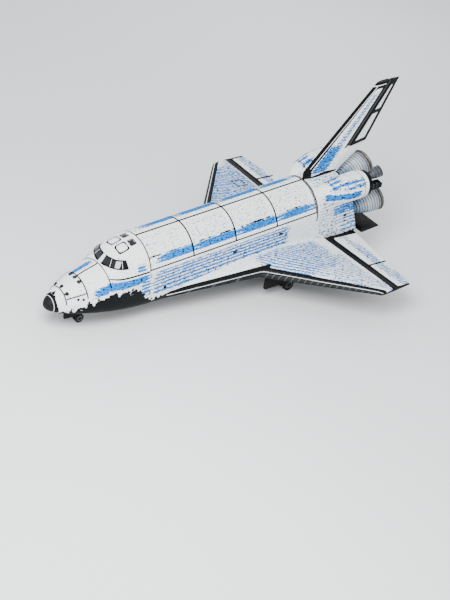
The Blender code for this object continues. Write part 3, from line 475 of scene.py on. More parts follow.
@dataclass(frozen=True)
class Skin(Finish):
    """Tiles or quilted blankets, laid in rows along the piece's skin map.

    The piece's field of blue painted shade says how much of it shows, from 0 to 1, and its "dark" field
    how many metres a point lies inside the black tiles, less than 0 outside them.
    """

    specular: float = 0.08
    # The blue and the dark flecks in it are painted shade
    blue: str = "#0079cf"
    painted_shade_fleck: str = "#040d18"
    dark: str = "#08090b"
    tile_mm: Pair = (305.0, 305.0)
    joint_mm: float = 12.0
    turn_deg: float = 0.0
    row_mm: float = 300.0
    jag_mm: float = 260.0
    relief_mm: float = 6.0
    joint: str = "#3a4046"
    dot_mm: float = 130.0
    vary: float = 0.1

    def pattern(self, tree: Tree) -> dict[str, Socket]:
        """Builds the rows, the blue courses of painted shade, the black courses and the joints between the tiles.

        Args:
            tree: The material's node tree.

        Returns:
            What feeds the shader's inputs.
        """
        skin = add(tree, "UVMap", {}, uv_map="skin")
        laid = add(tree, "Mapping", {"Vector": skin, "Rotation": (0, 0, radians(self.turn_deg))})
        wide, high = (size / 1000 for size in self.tile_mm)
        cell = add(tree, "VectorMath", {0: laid, 1: (wide, high, 1)}, operation="SNAP")
        chance = add(tree, "TexWhiteNoise", {"Vector": cell}, noise_dimensions="2D")
        bricks = {"Vector": laid, "Scale": 1.0, "Mortar Size": self.joint_mm / 2000, "Mortar Smooth": 0.4}
        bricks |= {"Brick Width": wide, "Row Height": high}
        joints = add(tree, "TexBrick", bricks, 1, offset=0.5, squash=1.0)
        black = self.black_courses(tree, laid, chance)
        # The blue mask and its dark flecks are painted shade; the black tiles and joints are the tiles' own colours
        stain_and_painted_shade, speck = self.painted_shade_courses(tree, laid)
        tone = add(tree, "MapRange", {0: chance, 3: 1 - self.vary, 4: 1.0})
        coat = add(tree, "HueSaturation", {"Color": rgba(self.colour), "Value": tone})
        seam = add(tree, "Math", {0: joints, 1: 0.45}, operation="MULTIPLY")
        for mask, colour in ((stain_and_painted_shade, self.blue), (speck, self.painted_shade_fleck), (black, self.dark), (seam, self.joint)):
            coat = add(tree, "Mix", {0: mask, 6: coat, 7: rgba(colour)}, 2, data_type="RGBA")
        fibre = add(tree, "TexNoise", {"Vector": laid, "Scale": 28.0, "Detail": 3.0})
        height = add(tree, "Math", {0: fibre, 1: 0.15}, operation="MULTIPLY")
        height = add(tree, "Math", {0: height, 1: joints}, operation="SUBTRACT")
        height = add(tree, "Math", {0: chance, 1: 0.25, 2: height}, operation="MULTIPLY_ADD")
        gloss = add(tree, "MapRange", {0: chance, 3: self.roughness * 0.85, 4: self.roughness})
        bump = {"Height": height, "Distance": self.relief_mm / 1000, "Strength": 0.7}
        return {
            "Base Color": coat,
            "Roughness": add(tree, "Mix", {0: black, 2: gloss, 3: 0.52}),
            "Normal": add(tree, "Bump", bump),
        }

    def black_courses(self, tree: Tree, laid: Socket, chance: Socket) -> Socket:
        """The mask of the black tiles, whose edge steps from tile to tile.

        Args:
            tree: The material's node tree.
            laid: The place along the rows, in metres.
            chance: A value for each tile.

        Returns:
            The mask.
        """
        jag = self.jag_mm / 1000
        drips = add(tree, "Mapping", {"Vector": laid, "Scale": (2.4, 0.5, 1.0)})
        wander = add(tree, "TexNoise", {"Vector": drips, "Scale": 1.1, "Detail": 3.0})
        drift = add(tree, "MapRange", {0: wander, 1: 0.3, 2: 0.7, 3: -jag, 4: jag})
        step = add(tree, "MapRange", {0: chance, 3: -jag, 4: jag})
        depth = add(tree, "Attribute", {}, "Fac", attribute_name="dark")
        depth = add(tree, "Math", {0: depth, 1: drift}, operation="ADD")
        depth = add(tree, "Math", {0: step, 1: 0.7, 2: depth}, operation="MULTIPLY_ADD")
        return add(tree, "MapRange", {0: depth, 1: -0.01, 2: 0.01})

    def painted_shade_courses(self, tree: Tree, laid: Socket) -> tuple[Socket, Socket]:
        """Masks of the blue painted shade, in broken rows where it is faint and solid where it is strong.

        Args:
            tree: The material's node tree.
            laid: The place along the rows, in metres.

        Returns:
            The mask of the blue painted shade and the mask of the dark flecks of painted shade in it.
        """
        amount = add(tree, "Attribute", {}, "Fac", attribute_name="blue")
        waves = {"Vector": laid, "Scale": 100 * pi / self.row_mm, "Distortion": 0.6, "Detail": 1.0}
        level = add(tree, "TexWave", waves, 1, bands_direction="Y")
        drawn = add(tree, "Mapping", {"Vector": laid, "Scale": (0.7, 2.2, 1.0)})
        dashes = add(tree, "TexNoise", {"Vector": drawn, "Scale": 2.2, "Detail": 4.0, "Roughness": 0.7})
        dots = add(tree, "TexNoise", {"Vector": laid, "Scale": 1000 / self.dot_mm, "Detail": 1.0})
        flecks = add(tree, "TexNoise", {"Vector": drawn, "Scale": 5.5, "Detail": 3.0})
        level = add(tree, "Math", {0: level, 1: 0.26}, operation="MULTIPLY")
        for texture, weight in ((dashes, 0.65), (dots, 0.40)):
            level = add(tree, "Math", {0: texture, 1: weight, 2: level}, operation="MULTIPLY_ADD")
        over = add(tree, "Math", {0: amount, 1: level}, operation="SUBTRACT")
        share = add(tree, "Math", {0: amount, 1: 0.62}, operation="MINIMUM")
        fleck = add(tree, "Math", {0: share, 1: 0.24, 2: flecks}, operation="MULTIPLY_ADD")
        stain_and_painted_shade = add(tree, "MapRange", {0: over, 1: -0.03, 2: 0.03})
        return stain_and_painted_shade, add(tree, "MapRange", {0: fleck, 1: 0.705, 2: 0.72})


@dataclass(frozen=True)
class Tubed(Finish):
    """A bell's wall of fine tubes laid side by side, stained by heat towards its mouth."""

    tubes: int = 240
    stain_and_painted_shade: str = "#3f7aa8"
    mouth: str = "#6f665c"

    def pattern(self, tree: Tree) -> dict[str, Socket]:
        """Darkens a groove between each two tubes as painted shade, and draws bands of stain along the bell.

        Args:
            tree: The material's node tree.

        Returns:
            What feeds the shader's inputs.
        """
        skin = add(tree, "UVMap", {}, uv_map="skin")
        split = add(tree, "SeparateXYZ", {0: skin}).node.outputs
        turn = add(tree, "Math", {0: split[0], 1: float(self.tubes)}, operation="MULTIPLY")
        tube = add(tree, "Math", {0: turn}, operation="SINE")
        cloud = add(tree, "TexNoise", {"Vector": skin, "Scale": 1.8, "Detail": 4.0})
        along = add(tree, "Math", {0: cloud, 1: 0.9, 2: split[1]}, operation="MULTIPLY_ADD")
        near = add(tree, "MapRange", {0: along, 1: 1.4, 2: 3.2})
        far = add(tree, "MapRange", {0: along, 1: 3.6, 2: 4.6})
        tone = add(tree, "Mix", {0: near, 6: rgba(self.stain_and_painted_shade), 7: rgba(self.colour)}, 2, data_type="RGBA")
        tone = add(tree, "Mix", {0: far, 6: tone, 7: rgba(self.mouth)}, 2, data_type="RGBA")
        # The darkening in each groove between the tubes is painted shade
        groove = add(tree, "MapRange", {0: tube, 1: -1.0, 2: 0.2, 3: 0.45, 4: 1.0})
        tone = add(tree, "HueSaturation", {"Color": tone, "Value": groove})
        bump = add(tree, "Bump", {"Height": tube, "Distance": 0.004, "Strength": 0.8})
        return {"Base Color": tone, "Normal": bump}


@dataclass(frozen=True)
class Glazing(Finish):
    """Thick heat-resistant window glass, dark from outside and mirror-smooth."""

    def pattern(self, tree: Tree) -> dict[str, Socket]:
        """Gives the panes a faint ripple, so that their reflections waver.

        Args:
            tree: The material's node tree.

        Returns:
            What feeds the shader's inputs.
        """
        tree.nodes["Principled BSDF"].inputs["IOR"].default_value = 1.46
        place = add(tree, "TexCoord", {}, "Object")
        ripple = add(tree, "TexNoise", {"Vector": place, "Scale": 1.6, "Detail": 1.0})
        return {"Normal": add(tree, "Bump", {"Height": ripple, "Distance": 0.01, "Strength": 0.25})}


# Quilted felt: matt white with soft seams, with blue courses of painted shade and black courses: black tiles on the
# pods, a painted shade line on the port door
BLANKET = Skin(
    "quilted_felt_blanket", "#f3f6f6", 0.80, tile_mm=(915.0, 760.0), joint_mm=16.0, row_mm=340.0, jag_mm=30.0
)
FIN_BLANKET = Skin(
    "fin_felt_blanket", "#f4f7f7", 0.78, tile_mm=(760.0, 600.0), joint_mm=14.0, row_mm=260.0, jag_mm=12.0
)
# White glazed silica tiles: a fine square grid, satin, turned 45 degrees on the wings
WHITE_TILE = Skin("white_glazed_silica_tile", "#f3f6f7", 0.50, tile_mm=(203.0, 203.0), joint_mm=7.0)
WING_TILE = Skin(
    "diagonal_white_silica_tile", "#f3f6f7", 0.55, tile_mm=(203.0, 203.0), joint_mm=7.0, turn_deg=45.0, jag_mm=12.0
)
# Black glazed silica tiles, satin, each a little different in tone
BLACK_TILE = Skin("black_glazed_silica_tile", "#08090a", 0.55, tile_mm=(152.0, 152.0), joint_mm=7.0, vary=0.6)
# The same tiles round the engines, scorched to a dusty dark grey
BASE_TILE = Skin(
    "scorched_silica_tile", "#2d3034", 0.6, specular=0.3, tile_mm=(203.0, 203.0), vary=0.5, joint="#0c0d0e"
)
# Carbon laminate with a fired silicon carbide skin, dark grey and dull
CARBON = Grained(
    "coated_carbon", "#0a0b0d", 0.62, specular=0.2, second="#131518", cloud_mm=500.0, grain_mm=8.0, relief_mm=0.4
)
# The same laminate in narrow strips, paler, so that each panel of the edge reads
EDGE_SEAL = Grained("carbon_panel_seal", "#3b4046", 0.45, second="#2b2f34", cloud_mm=300.0, grain_mm=8.0)
# Braided ceramic rope in the joints: black lines that swallow the light
SEAL = Grained(
    "braided_black_seal", "#060607", 0.85, specular=0.08,
    second="#0c0d0e", cloud_mm=120.0, grain_mm=10.0, relief_mm=1.5,
)
# Painted highlight: clean white lines beside the dark edges, where light catches them
PAINTED_HIGHLIGHT = Grained("white_felt_seal", "#eef2f3", 0.7, second="#dfe5e8", cloud_mm=150.0, grain_mm=10.0)
# Polished silica glass: near black with sharp, slightly wavering reflections
WINDOW = Glazing("fused_silica_glass", "#05070a", 0.04, coat=0.6)
# Painted glint: bright white posts between the dark panes, where light glints; the same white covers the wedge
# between the front panes
GLINT = Grained("window_frame_enamel", "#e9eef1", 0.35, second="#d5dde3", cloud_mm=200.0)
# Nickel alloy, blued and browned by heat: soft metallic gleams
BELL = Grained("heat_stained_nickel_tube", "#8f9396", 0.34, 0.9, second="#4a5560", cloud_mm=700.0, grain_mm=12.0)
# Dark, dull nickel: the bells' insides, darker than their outsides, and the thruster cups
BELL_INSIDE = Grained("sooted_nickel_tube", "#565a5e", 0.5, 0.7, second="#2b2e32", cloud_mm=900.0, grain_mm=12.0)
# Brazed tubes side by side: fine ribs along the bell, painted shade in the grooves between them, blue near its throat
BELL_TUBES = Tubed("nickel_tube_wall", "#dfe3e6", 0.36, 0.6)
# Painted shade: blue rings round the bells
PAINTED_SHADE_HOOP = Grained("blue_enamelled_hoop", "#0878cc", 0.4, 0.2, second="#166ba6", cloud_mm=400.0, grain_mm=8.0)
# Heat-blackened steel: the dark rings between them
DARK_HOOP = Grained("heat_blackened_hoop", "#141619", 0.5, 0.4, second="#24292e", cloud_mm=300.0, grain_mm=8.0)
# Turned and milled steel: bright, with a fine grain
STEEL = Grained("machined_steel", "#a9adb1", 0.30, 1.0, second="#8d9297", cloud_mm=300.0, grain_mm=4.0, relief_mm=0.2)
# Ground chrome plate: a mirror on the sliding struts
CHROME = Grained("hard_chrome", "#c9cdd1", 0.10, 1.0, second="#bcc1c6", cloud_mm=300.0, grain_mm=5.0, relief_mm=0.05)
# Sprayed enamel on steel: glossy white legs with a little grime
GEAR_PAINT = Grained("white_enamelled_steel", "#dfe3e5", 0.38, second="#c6ccd0", cloud_mm=350.0, grain_mm=15.0)
# Forged and varnished aluminium: soft grey wheels
HUB_PAINT = Grained("forged_aluminium", "#b4b8bc", 0.38, 0.85, second="#94999e", cloud_mm=250.0, grain_mm=6.0)
# Pressed carbon: a dry dark grey
BRAKE = Grained("carbon_brake", "#191a1c", 0.7, second="#26282b", cloud_mm=80.0, grain_mm=5.0)
# Moulded rubber: dull black, a little dusty
RUBBER = Grained(
    "tyre_rubber", "#141414", 0.88, specular=0.25, second="#232322", cloud_mm=260.0, grain_mm=6.0, relief_mm=0.8
)
# Silvered film on flat panels: a mirror with slow ripples
SILVER_FILM = Grained("silvered_film", "#d5dadf", 0.12, 1.0, second="#bcc6d0", cloud_mm=900.0, grain_mm=80.0)
# Woven glass cloth: soft white folds that scatter the light
LINER = Grained("white_glass_cloth", "#e4e7e6", 0.85, second="#ccd1d0", cloud_mm=500.0, grain_mm=30.0, relief_mm=4.0)
# Sprayed primer: flat green frames
PRIMER = Grained("green_primer", "#6f7f62", 0.6, second="#5b6a52", cloud_mm=700.0, grain_mm=20.0)
# Baked enamel: a calm grey inside the cabin
CABIN_PAINT = Grained("grey_cabin_enamel", "#6b7276", 0.5, second="#565d61", cloud_mm=300.0, grain_mm=12.0)
# Extruded rubber hose: thin black lines with a soft gleam
HOSE = Grained("black_hydraulic_hose", "#101112", 0.55, second="#1d1f20", cloud_mm=60.0, grain_mm=5.0)
# Matt paper: a pale floor without a pattern
FLOOR = Finish("studio_floor", "#e6e8e9", 0.9)


class Mapping(Enum):
    """How a piece's rows of tiles run."""

    HULL = "round the body"
    PLAN = "seen from above"
    SIDE = "seen from the side"
    BASE = "seen from the rear"


def unroll(obj: Piece, mapping: Mapping) -> None:
    """Gives a piece its skin map.

    Args:
        obj: The piece, in the vehicle's frame.
        mapping: How its rows run.
    """
    axes = {Mapping.PLAN: (0, 1), Mapping.SIDE: (0, 2), Mapping.BASE: (1, 2)}
    if mapping in axes:
        across, up = axes[mapping]
        map_skin(obj, lambda *place: place[across], lambda *place: place[up])
    else:
        map_skin(obj, lambda x, y, z: x, lambda x, y, z: BODY_RADIUS * np.arctan2(np.abs(y), z - BAY_AXIS_Z))


def dress(
    obj: Piece,
    body: str,
    finish: Finish,
    replaces: Sequence[str] = (),
    mapping: Mapping | None = None,
    blue: Field | None = None,
    dark: Field | None = None,
    angle: float = 32.0,
) -> Piece:
    """Finishes a piece drawn in the vehicle's frame and puts it on its body.

    Args:
        obj: The piece.
        body: The body it rides on.
        finish: Its finish.
        replaces: The solids that it stands for.
        mapping: How its tiles run, where the finish has tiles.
        blue: Where and how strongly the blue painted shade shows.
        dark: How far inside the black tiles a point lies.
        angle: Edges sharper than this stay sharp, in degrees.

    Returns:
        The piece.
    """
    if mapping:
        unroll(obj, mapping)
        paint(obj, "blue", blue or (lambda x, y, z: 0 * x))
        paint(obj, "dark", dark or (lambda x, y, z: 0 * x - 9))
    make_active(obj)
    bpy.ops.object.shade_smooth_by_angle(angle=radians(angle))
    obj.data.transform(STANCE)
    obj.data.update()
    obj.data.materials.clear()
    obj.data.materials.append(finish.material())
    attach(obj, body)
    if replaces:
        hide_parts(*replaces)
    log.info("%s: %d faces, on %s, %s", obj.name, len(obj.data.polygons), body, finish.name)
    return obj


def smooth_step(value: Many, low: float, high: float) -> Many:
    """0 below low, 1 above high and a soft rise between."""
    share = np.clip((value - low) / (high - low), 0, 1)
    return share * share * (3 - 2 * share)


def between(value: Many, low: float, high: float, soft: float) -> Many:
    """1 between two values, falling softly to 0 outside them."""
    return smooth_step(value, low - soft, low + soft) * (1 - smooth_step(value, high - soft, high + soft))


# Main sizes of the body, in metres
BODY_RADIUS, BAY_AXIS_Z, BAY_RADIUS = 2.60, 3.175, 2.30
BAY_FRONT, BAY_REAR = 8.79, 27.20
DOOR_WALL, RUNNING = 0.08, 0.008
DOOR_LOW_ANGLE = radians(11.25)
HULL_STEPS = 128
NOSE_WELL_X, NOSE_WELL_HALF, NOSE_WELL_TOP = (1.75, 3.80), 0.45, 1.35
MAIN_WELL_X, MAIN_WELL_Y, MAIN_WELL_TOP = (20.5, 24.5), (2.75, 4.15), 0.95
# Where the published stations and waterlines, in inches, have the frame's zero
STATION_ZERO, WATERLINE_ZERO = 236, 275


def even_quarter(half: float, rise: float, power: float) -> list[Pair]:
    """A quarter of a rounded square from its side to its top, its points evenly spaced."""
    flat = np.linspace(0, 1, 240)
    bent = (1 - flat**power) ** (1 / power)
    line = np.vstack([np.stack([bent, flat], 1)[bent >= flat], np.stack([flat, bent], 1)[bent > flat][::-1]])
    line *= (half, rise)
    reach = np.concatenate([[0], np.cumsum(np.hypot(*np.diff(line, axis=0).T))])
    wanted = np.linspace(0, reach[-1], HULL_STEPS // 4 + 1)
    return list(zip(*(np.interp(wanted, reach, line[:, i]).tolist() for i in (0, 1))))


@dataclass(frozen=True)
class Section:
    """One station of the body: place, half width, three waterlines, and how square its halves are."""

    station: float
    half_width: float
    top: float
    widest: float
    bottom: float
    lower_power: float
    upper_power: float

    @property
    def x(self) -> float:
        """The section's place along the body, in metres."""
        return (self.station - STATION_ZERO) * INCH

    @property
    def half(self) -> float:
        """Half its width, in metres."""
        return self.half_width * INCH

    @property
    def middle(self) -> float:
        """The height of its widest line, in metres."""
        return (self.widest - WATERLINE_ZERO) * INCH

    @property
    def rise(self) -> float:
        """How far its top stands above that line, in metres."""
        return (self.top - self.widest) * INCH

    def ring(self, inset: float = 0.0, shift: float = 0.0) -> Ring:
        """The outline in metres, drawn in by inset and moved aft by shift."""
        half, fall = self.half - inset, (self.widest - self.bottom) * INCH - inset
        upper = even_quarter(half, self.rise - inset, self.upper_power)
        lower = even_quarter(half, fall, self.lower_power)
        points = [*upper, *[(-y, z) for y, z in upper[-2::-1]]]
        points += [*[(-y, -z) for y, z in lower[1:]], *[(y, -z) for y, z in lower[-2:0:-1]]]
        return [Vector((self.x + shift, y, self.middle + z)) for y, z in points]

    def values(self) -> tuple[float, ...]:
        """All the section's numbers in order."""
        return tuple(vars(self).values())


BODY = (
    Section(258, 29.0, 370.0, 338.0, 315.0, 2.1, 2.0),
    Section(275, 41.0, 382.0, 337.0, 309.0, 2.2, 2.0),
    Section(300, 55.0, 395.0, 337.0, 303.5, 2.4, 2.0),
    Section(340, 71.5, 411.0, 338.0, 298.0, 2.8, 2.0),
    Section(388, 85.5, 427.0, 342.0, 292.5, 3.4, 2.0),
    Section(440, 95.5, 441.0, 350.0, 286.0, 4.2, 2.05),
    Section(478, 99.5, 478.0, 360.0, 281.5, 5.0, 2.1),
    Section(500, 101.0, 489.5, 369.0, 279.5, 5.6, 2.1),
    Section(540, 102.2, 498.5, 385.0, 276.8, 7.0, 2.05),
    Section(582.06, 102.36, 502.36, 400.0, 275.0, 8.5, 2.0),
    Section(720, 102.36, 502.36, 400.0, 275.0, 14.0, 2.0),
    Section(1306.87, 102.36, 502.36, 400.0, 275.0, 14.0, 2.0),
    Section(1420, 102.36, 502.36, 402.0, 275.0, 14.0, 2.15),
    Section(1535, 102.36, 502.36, 405.0, 275.0, 14.0, 2.3),
)
NOSE_SEAM, BAY_FRONT_STATION, BAY_REAR_STATION, BODY_END = 258, 582.06, 1306.87, 1535
RING_SPACING = 12  # inches between the body's rings


def hull(name: str, first: float, last: float, inset: float = 0.0, reach: float = 0.0) -> Piece:
    """The body between two stations.

    Args:
        name: The piece's name.
        first: The first station.
        last: The last station.
        inset: How far inside the skin.
        reach: How far both ends run on straight.

    Returns:
        The closed shape.
    """
    places = [section.station for section in BODY if first <= section.station <= last]
    stations = [places[0]]
    for before, after in zip(places, places[1:]):
        count = max(1, round((after - before) / RING_SPACING))
        stations += [before + (after - before) * (i + 1) / count for i in range(count)]
    rows = [body_section(station) for station in stations]
    rings = [row.ring(inset) for row in rows]
    if reach:
        rings = [rows[0].ring(inset, -reach), *rings, rows[-1].ring(inset, reach)]
    return loft(name, rings)


def body_section(station: float) -> Section:
    """The body's section at a station, on a smooth line through the table's rows."""
    table = np.array([section.values() for section in BODY])
    places = table[:, 0]
    slopes = np.diff(table, axis=0) / np.diff(places)[:, None]
    product = slopes[:-1] * slopes[1:]
    total = np.where(product > 0, slopes[:-1] + slopes[1:], 1)
    bend = np.vstack([slopes[:1], np.where(product > 0, 2 * product / total, 0), slopes[-1:]])
    i = int(np.clip(np.searchsorted(places, station) - 1, 0, len(places) - 2))
    span = places[i + 1] - places[i]
    t = float(np.clip((station - places[i]) / span, 0, 1))
    rise, start = 3 * t**2 - 2 * t**3, t**3 - 2 * t**2 + t
    row = table[i] * (1 - rise) + table[i + 1] * rise
    row += span * (bend[i] * start + bend[i + 1] * (t**3 - t**2))
    row[0] = places[i] + t * span
    return Section(*map(float, row))


def hull_at(x: float) -> Section:
    """The body's section at a place along it, in metres."""
    return body_section(x / INCH + STATION_ZERO)


def on_hull(x: float, turn: float, lift: float = 0.0) -> Vector:
    """A point of the body's skin.

    Args:
        x: The place along the body.
        turn: The direction from the section's middle, in degrees up from starboard.
        lift: How far outside the skin.

    Returns:
        The point.
    """
    section = hull_at(x)
    ring = section.ring(-lift)
    centre = Vector((x, 0, section.middle))
    angles = [degrees(atan2(p.z - centre.z, p.y)) for p in ring]
    wanted = (turn + 180) % 360 - 180
    best = min(range(len(ring)), key=lambda i: abs((angles[i] - wanted + 180) % 360 - 180))
    after = (best + 1) % len(ring) if (wanted - angles[best] + 540) % 360 - 180 > 0 else best - 1
    span = (angles[after] - angles[best] + 540) % 360 - 180
    share = ((wanted - angles[best] + 540) % 360 - 180) / span if span else 0
    return ring[best].lerp(ring[after], min(max(share, 0), 1))


def hull_top(x: float, y: float) -> float:
    """The height of the body's upper skin over a point."""
    section = hull_at(x)
    share = (1 - (abs(y) / section.half) ** section.upper_power) ** (1 / section.upper_power)
    return section.middle + section.rise * share


def rounded(xs: Pair, ys: Pair, corner: float, steps: int) -> list[Pair]:
    """A rectangle's outline with round corners.

    Args:
        xs: Its front and rear edge.
        ys: Its two sides, the lesser first.
        corner: The corners' radius.
        steps: Steps round each corner.

    Returns:
        The outline's points.
    """
    (x0, x1), (y0, y1) = (xs[0] + corner, xs[1] - corner), (ys[0] + corner, ys[1] - corner)
    out = []
    for quarter, (x, y) in enumerate(((x1, y1), (x0, y1), (x0, y0), (x1, y0))):
        for step in range(steps + 1):
            turn = radians(90 * quarter + 90 / steps * step)
            out.append((x + corner * cos(turn), y + corner * sin(turn)))
    return out


def strip(name: str, line: Sequence[Vector], width: float, lift: float, outward: Vector | None = None) -> Piece:
    """A flat strip of seal along a line on a skin.

    Args:
        name: The piece's name.
        line: Points on the skin.
        width: The strip's width.
        lift: How far it stands proud; as much is sunk in.
        outward: The skin's direction, or away from the bay's axis.

    Returns:
        The strip.
    """
    rings = []
    for i, point in enumerate(line):
        along = (line[min(i + 1, len(line) - 1)] - line[max(i - 1, 0)]).normalized()
        away = outward or Vector((0, point.y, point.z - min(BAY_AXIS_Z, point.z - 0.4)))
        away = (away - away.dot(along) * along).normalized()
        side = along.cross(away) * width / 2
        low, high = point - away * lift, point + away * lift
        rings.append([low - side, high - side * 0.8, high + side * 0.8, low + side])
    return loft(name, rings)


def hull_dark(x: Many, y: Many, z: Many) -> Many:
    """How far below the edge of the belly's black tiles a point of the body lies."""
    places = (0.4, 1.6, 3.3, 5.1, 7.5, 8.1, 8.6, 10.0, 12.0, 26.0, 33.0)
    heights = (1.25, 1.40, 1.95, 2.35, 2.40, 2.0, 0.95, 0.62, 0.45, 0.30, 0.30)
    return np.maximum(np.interp(x, places, heights) - z, (0.92 - x) * 1.5)


def hull_painted_shade(x: Many, y: Many, z: Many) -> Many:
    """Where the blue painted shade shows on the body's sides and nose."""
    line = np.interp(x, (2.5, 5.2, 8.8), (2.75, 3.50, 3.60))
    cabin = 0.92 * between(x, 3.6, 8.9, 0.5) * between(z, line - 0.85, line - 0.12, 0.2)
    chine = 0.72 * between(x, 7.9, 9.2, 0.3) * between(z, 1.2, 2.9, 0.3)
    rows = 0.68 * between(x, 8.9, 24.5, 1.0) * between(z, 0.9, 3.5, 0.25)
    behind = 0.80 * between(x, 7.5, 8.5, 0.3) * between(z, 3.7, 4.5, 0.3)
    top = 0.95 * between(x, 3.0, 5.0, 0.3) * between(y, 0.35, 0.95, 0.15) * (z > 3)
    tail = 0.62 * between(x, 29.8, 33.5, 1.0) * between(z, 0.5, 3.6, 0.4)
    corner = 0.80 * between(x, 29.0, 33.0, 0.6) * between(z, 2.6, 3.8, 0.3)
    stern = 0.54 * between(x, 27.3, 33.5, 0.6)
    return np.maximum.reduce([cabin, chine, rows, behind, top, tail, corner, stern, 0.24 + 0 * x])


@dataclass
class Forebody:
    """The nose and the cabin, with their windows, thrusters and side hatch."""

    wall: float = 0.22
    cabin_front: float = 440
    windshield_x: Pair = (4.9, 6.85)
    windshield_z: Pair = (4.27, 4.90)
    pane_turns: tuple[Pair, ...] = ((5.0, 33.0), (37.0, 65.0), (69.0, 101.0))
    post_turns: Pair = (35.0, 67.0)
    fan: Triple = (7.15, 0, 0)
    fan_reach: float = 3.4
    surround_tries: int = 8
    surround_faces: int = 100
    centre_post: float = 0.05
    overhead_x: Pair = (7.88, 8.33)
    overhead_y: Pair = (0.30, 0.80)
    overhead_corner: float = 0.09
    hatch: Pair = (7.10, 2.41)
    hatch_radius: float = 0.51
    hatch_hinge: Pair = (0.03, 0.20)
    pane_radius: float = 0.127
    fitting: Triple = (4.05, 0.14, 0.40)

    def build(self) -> None:
        """Makes every piece of the nose and cabin."""
        self.nose_cap()
        self.shell()
        self.windshields()
        self.centre_cover()
        self.overhead_windows()
        self.side_hatch()
        self.seams()
        coat_nodes(CABIN_PAINT, "flight_deck")
        coat_nodes(LINER, "cabin_bulkhead")

    def nose_cap(self) -> None:
        """The carbon cap, a rounded cone that meets the body's first section."""
        seam, rings = BODY[0], []
        for i in range(26):
            share = ((i + 0.6) / 25.6) ** 2
            half = seam.half_width * sqrt(share) * (1.04 - 0.04 * share)
            middle = 339.2 - 1.2 * share
            top, bottom = middle + half * (1.08 + 0.023 * share), middle - half * (0.84 - 0.047 * share)
            rings.append(Section(236.42 + 21.58 * share, half, top, middle, bottom, 2 + share / 10, 2.0).ring())
        rings[-1] = seam.ring(0, -0.004)
        dress(loft("nose_cap_shell", rings), "root", CARBON, ["nose_cap"], angle=50)
        # The white ring round the cap's seam is a painted highlight
        rows = ((0.004, -0.03), (-0.008, -0.02), (-0.008, 0.02), (0.004, 0.03))
        dress(loft("nose_cap_seal", [seam.ring(*row) for row in rows]), "root", PAINTED_HIGHLIGHT, angle=30)

    def hollow(self) -> Piece:
        """The cabin's inside, as a cutter."""
        rows = [s for s in BODY if self.cabin_front <= s.station <= BAY_FRONT_STATION]
        rings = [row.ring(self.wall) for row in rows[:-1]]
        return loft("cabin_hollow", rings + [rows[-1].ring(self.wall, shift) for shift in (-0.2, 0.3)])

    def window_band(self, side: int, edge: float) -> Piece:
        """A block round one side's windshield, edge metres inside its opening."""
        (x0, x1), (z0, z1) = self.windshield_x, self.windshield_z
        low = (x0, side * (self.centre_post + edge), z0 + edge)
        return block("window_band", low, (x1 - edge, side * 3.2, z1 - edge))

    def overhead_block(self, side: int, edge: float) -> Piece:
        """A rounded block through one overhead window's opening, edge metres inside it."""
        (x0, x1), (y0, y1) = self.overhead_x, self.overhead_y
        ys = sorted((side * (y0 + edge), side * (y1 - edge)))
        outline = rounded((x0 + edge, x1 - edge), ys, self.overhead_corner, 4)
        return prism("overhead_block", [(x, y, 5.0) for x, y in outline], (0, 0, 1.4))

    def hinge(self) -> Vector:
        """The side hatch's hinge: at the bottom of its opening, just inside the skin."""
        return Vector((self.hatch[0], -2.55, self.hatch[1] - self.hatch_radius))

    def nozzles(self) -> list[tuple[Vector, Vector, float]]:
        """Where the nose's thrusters open.

        Returns:
            Each one's point, direction and radius.
        """
        out = [(on_hull(2.93, turn), Vector((-0.05, 0, 1)), 0.19) for turn in (108, 90, 72)]
        out += [(on_hull(1.64, turn), Vector((-0.72, 0.0, 0.69)), 0.17) for turn in (123, 90, 57)]
        for x, turn in ((2.35, 28), (2.35, 152), (2.75, 24), (2.75, 156)):
            point = on_hull(x, turn)
            out.append((point, Vector((-0.3, copysign(1, point.y), 0.25)), 0.12))
        return out

    def shell(self) -> None:
        """The skin, with its openings cut, and a nozzle cup in each thruster's opening."""
        body = hull("forward_body", NOSE_SEAM, BAY_FRONT_STATION)
        cutters = [self.hollow()]
        for _, side in SIDES:
            cutters += [self.window_band(side, 0), self.overhead_block(side, 0)]
        x, z = self.hatch
        radius, half = self.hatch_hinge
        hinge, along = self.hinge(), Vector((half + 0.01, 0, 0))
        cutters.append(rod("hinge_groove", hinge - along, hinge + along, radius + 0.004, 32))
        low = hinge - along - Vector((0, 0.106, 0.045))
        cutters.append(block("hinge_notch", low, hinge + along - Vector((0, 0.006, 0))))
        profile = ((0, self.hatch_radius), (1.1, self.hatch_radius))
        cutters.append(turned("hatch_cutter", profile, (x, -1.9, z), (0, -1, 0), 64))
        (x0, x1), half = NOSE_WELL_X, NOSE_WELL_HALF
        cutters.append(block("well_cutter", (x0, -half, -0.5), (x1, half, NOSE_WELL_TOP)))
        cups = []
        for point, aim, radius in self.nozzles():
            aim = aim.normalized()
            cutters.append(turned("nozzle_cutter", ((-0.30, radius), (0.3, radius)), point, aim, 32))
            inner = ((0.005, radius), (0.0, radius - 0.022), (-0.12, radius * 0.72))
            inner += ((-0.25, radius * 0.3), (-0.27, 0))
            outer = ((-0.295, 0), (-0.295, radius * 0.5), (-0.02, radius - 0.002))
            cups.append(turned("thruster_cup", (*outer, *inner), point, aim, 32))
        cut(body, *cutters)
        x, half, low = self.fitting
        pad = block("tank_pad", (x - half, -half, low), (x + half, half, low + 0.2), 0.012)
        dress(body, "root", WHITE_TILE, ["forward_fuselage"], Mapping.HULL, hull_painted_shade, hull_dark)
        dress(join("nose_thrusters", cups), "root", BELL_INSIDE)
        dress(pad, "root", STEEL)

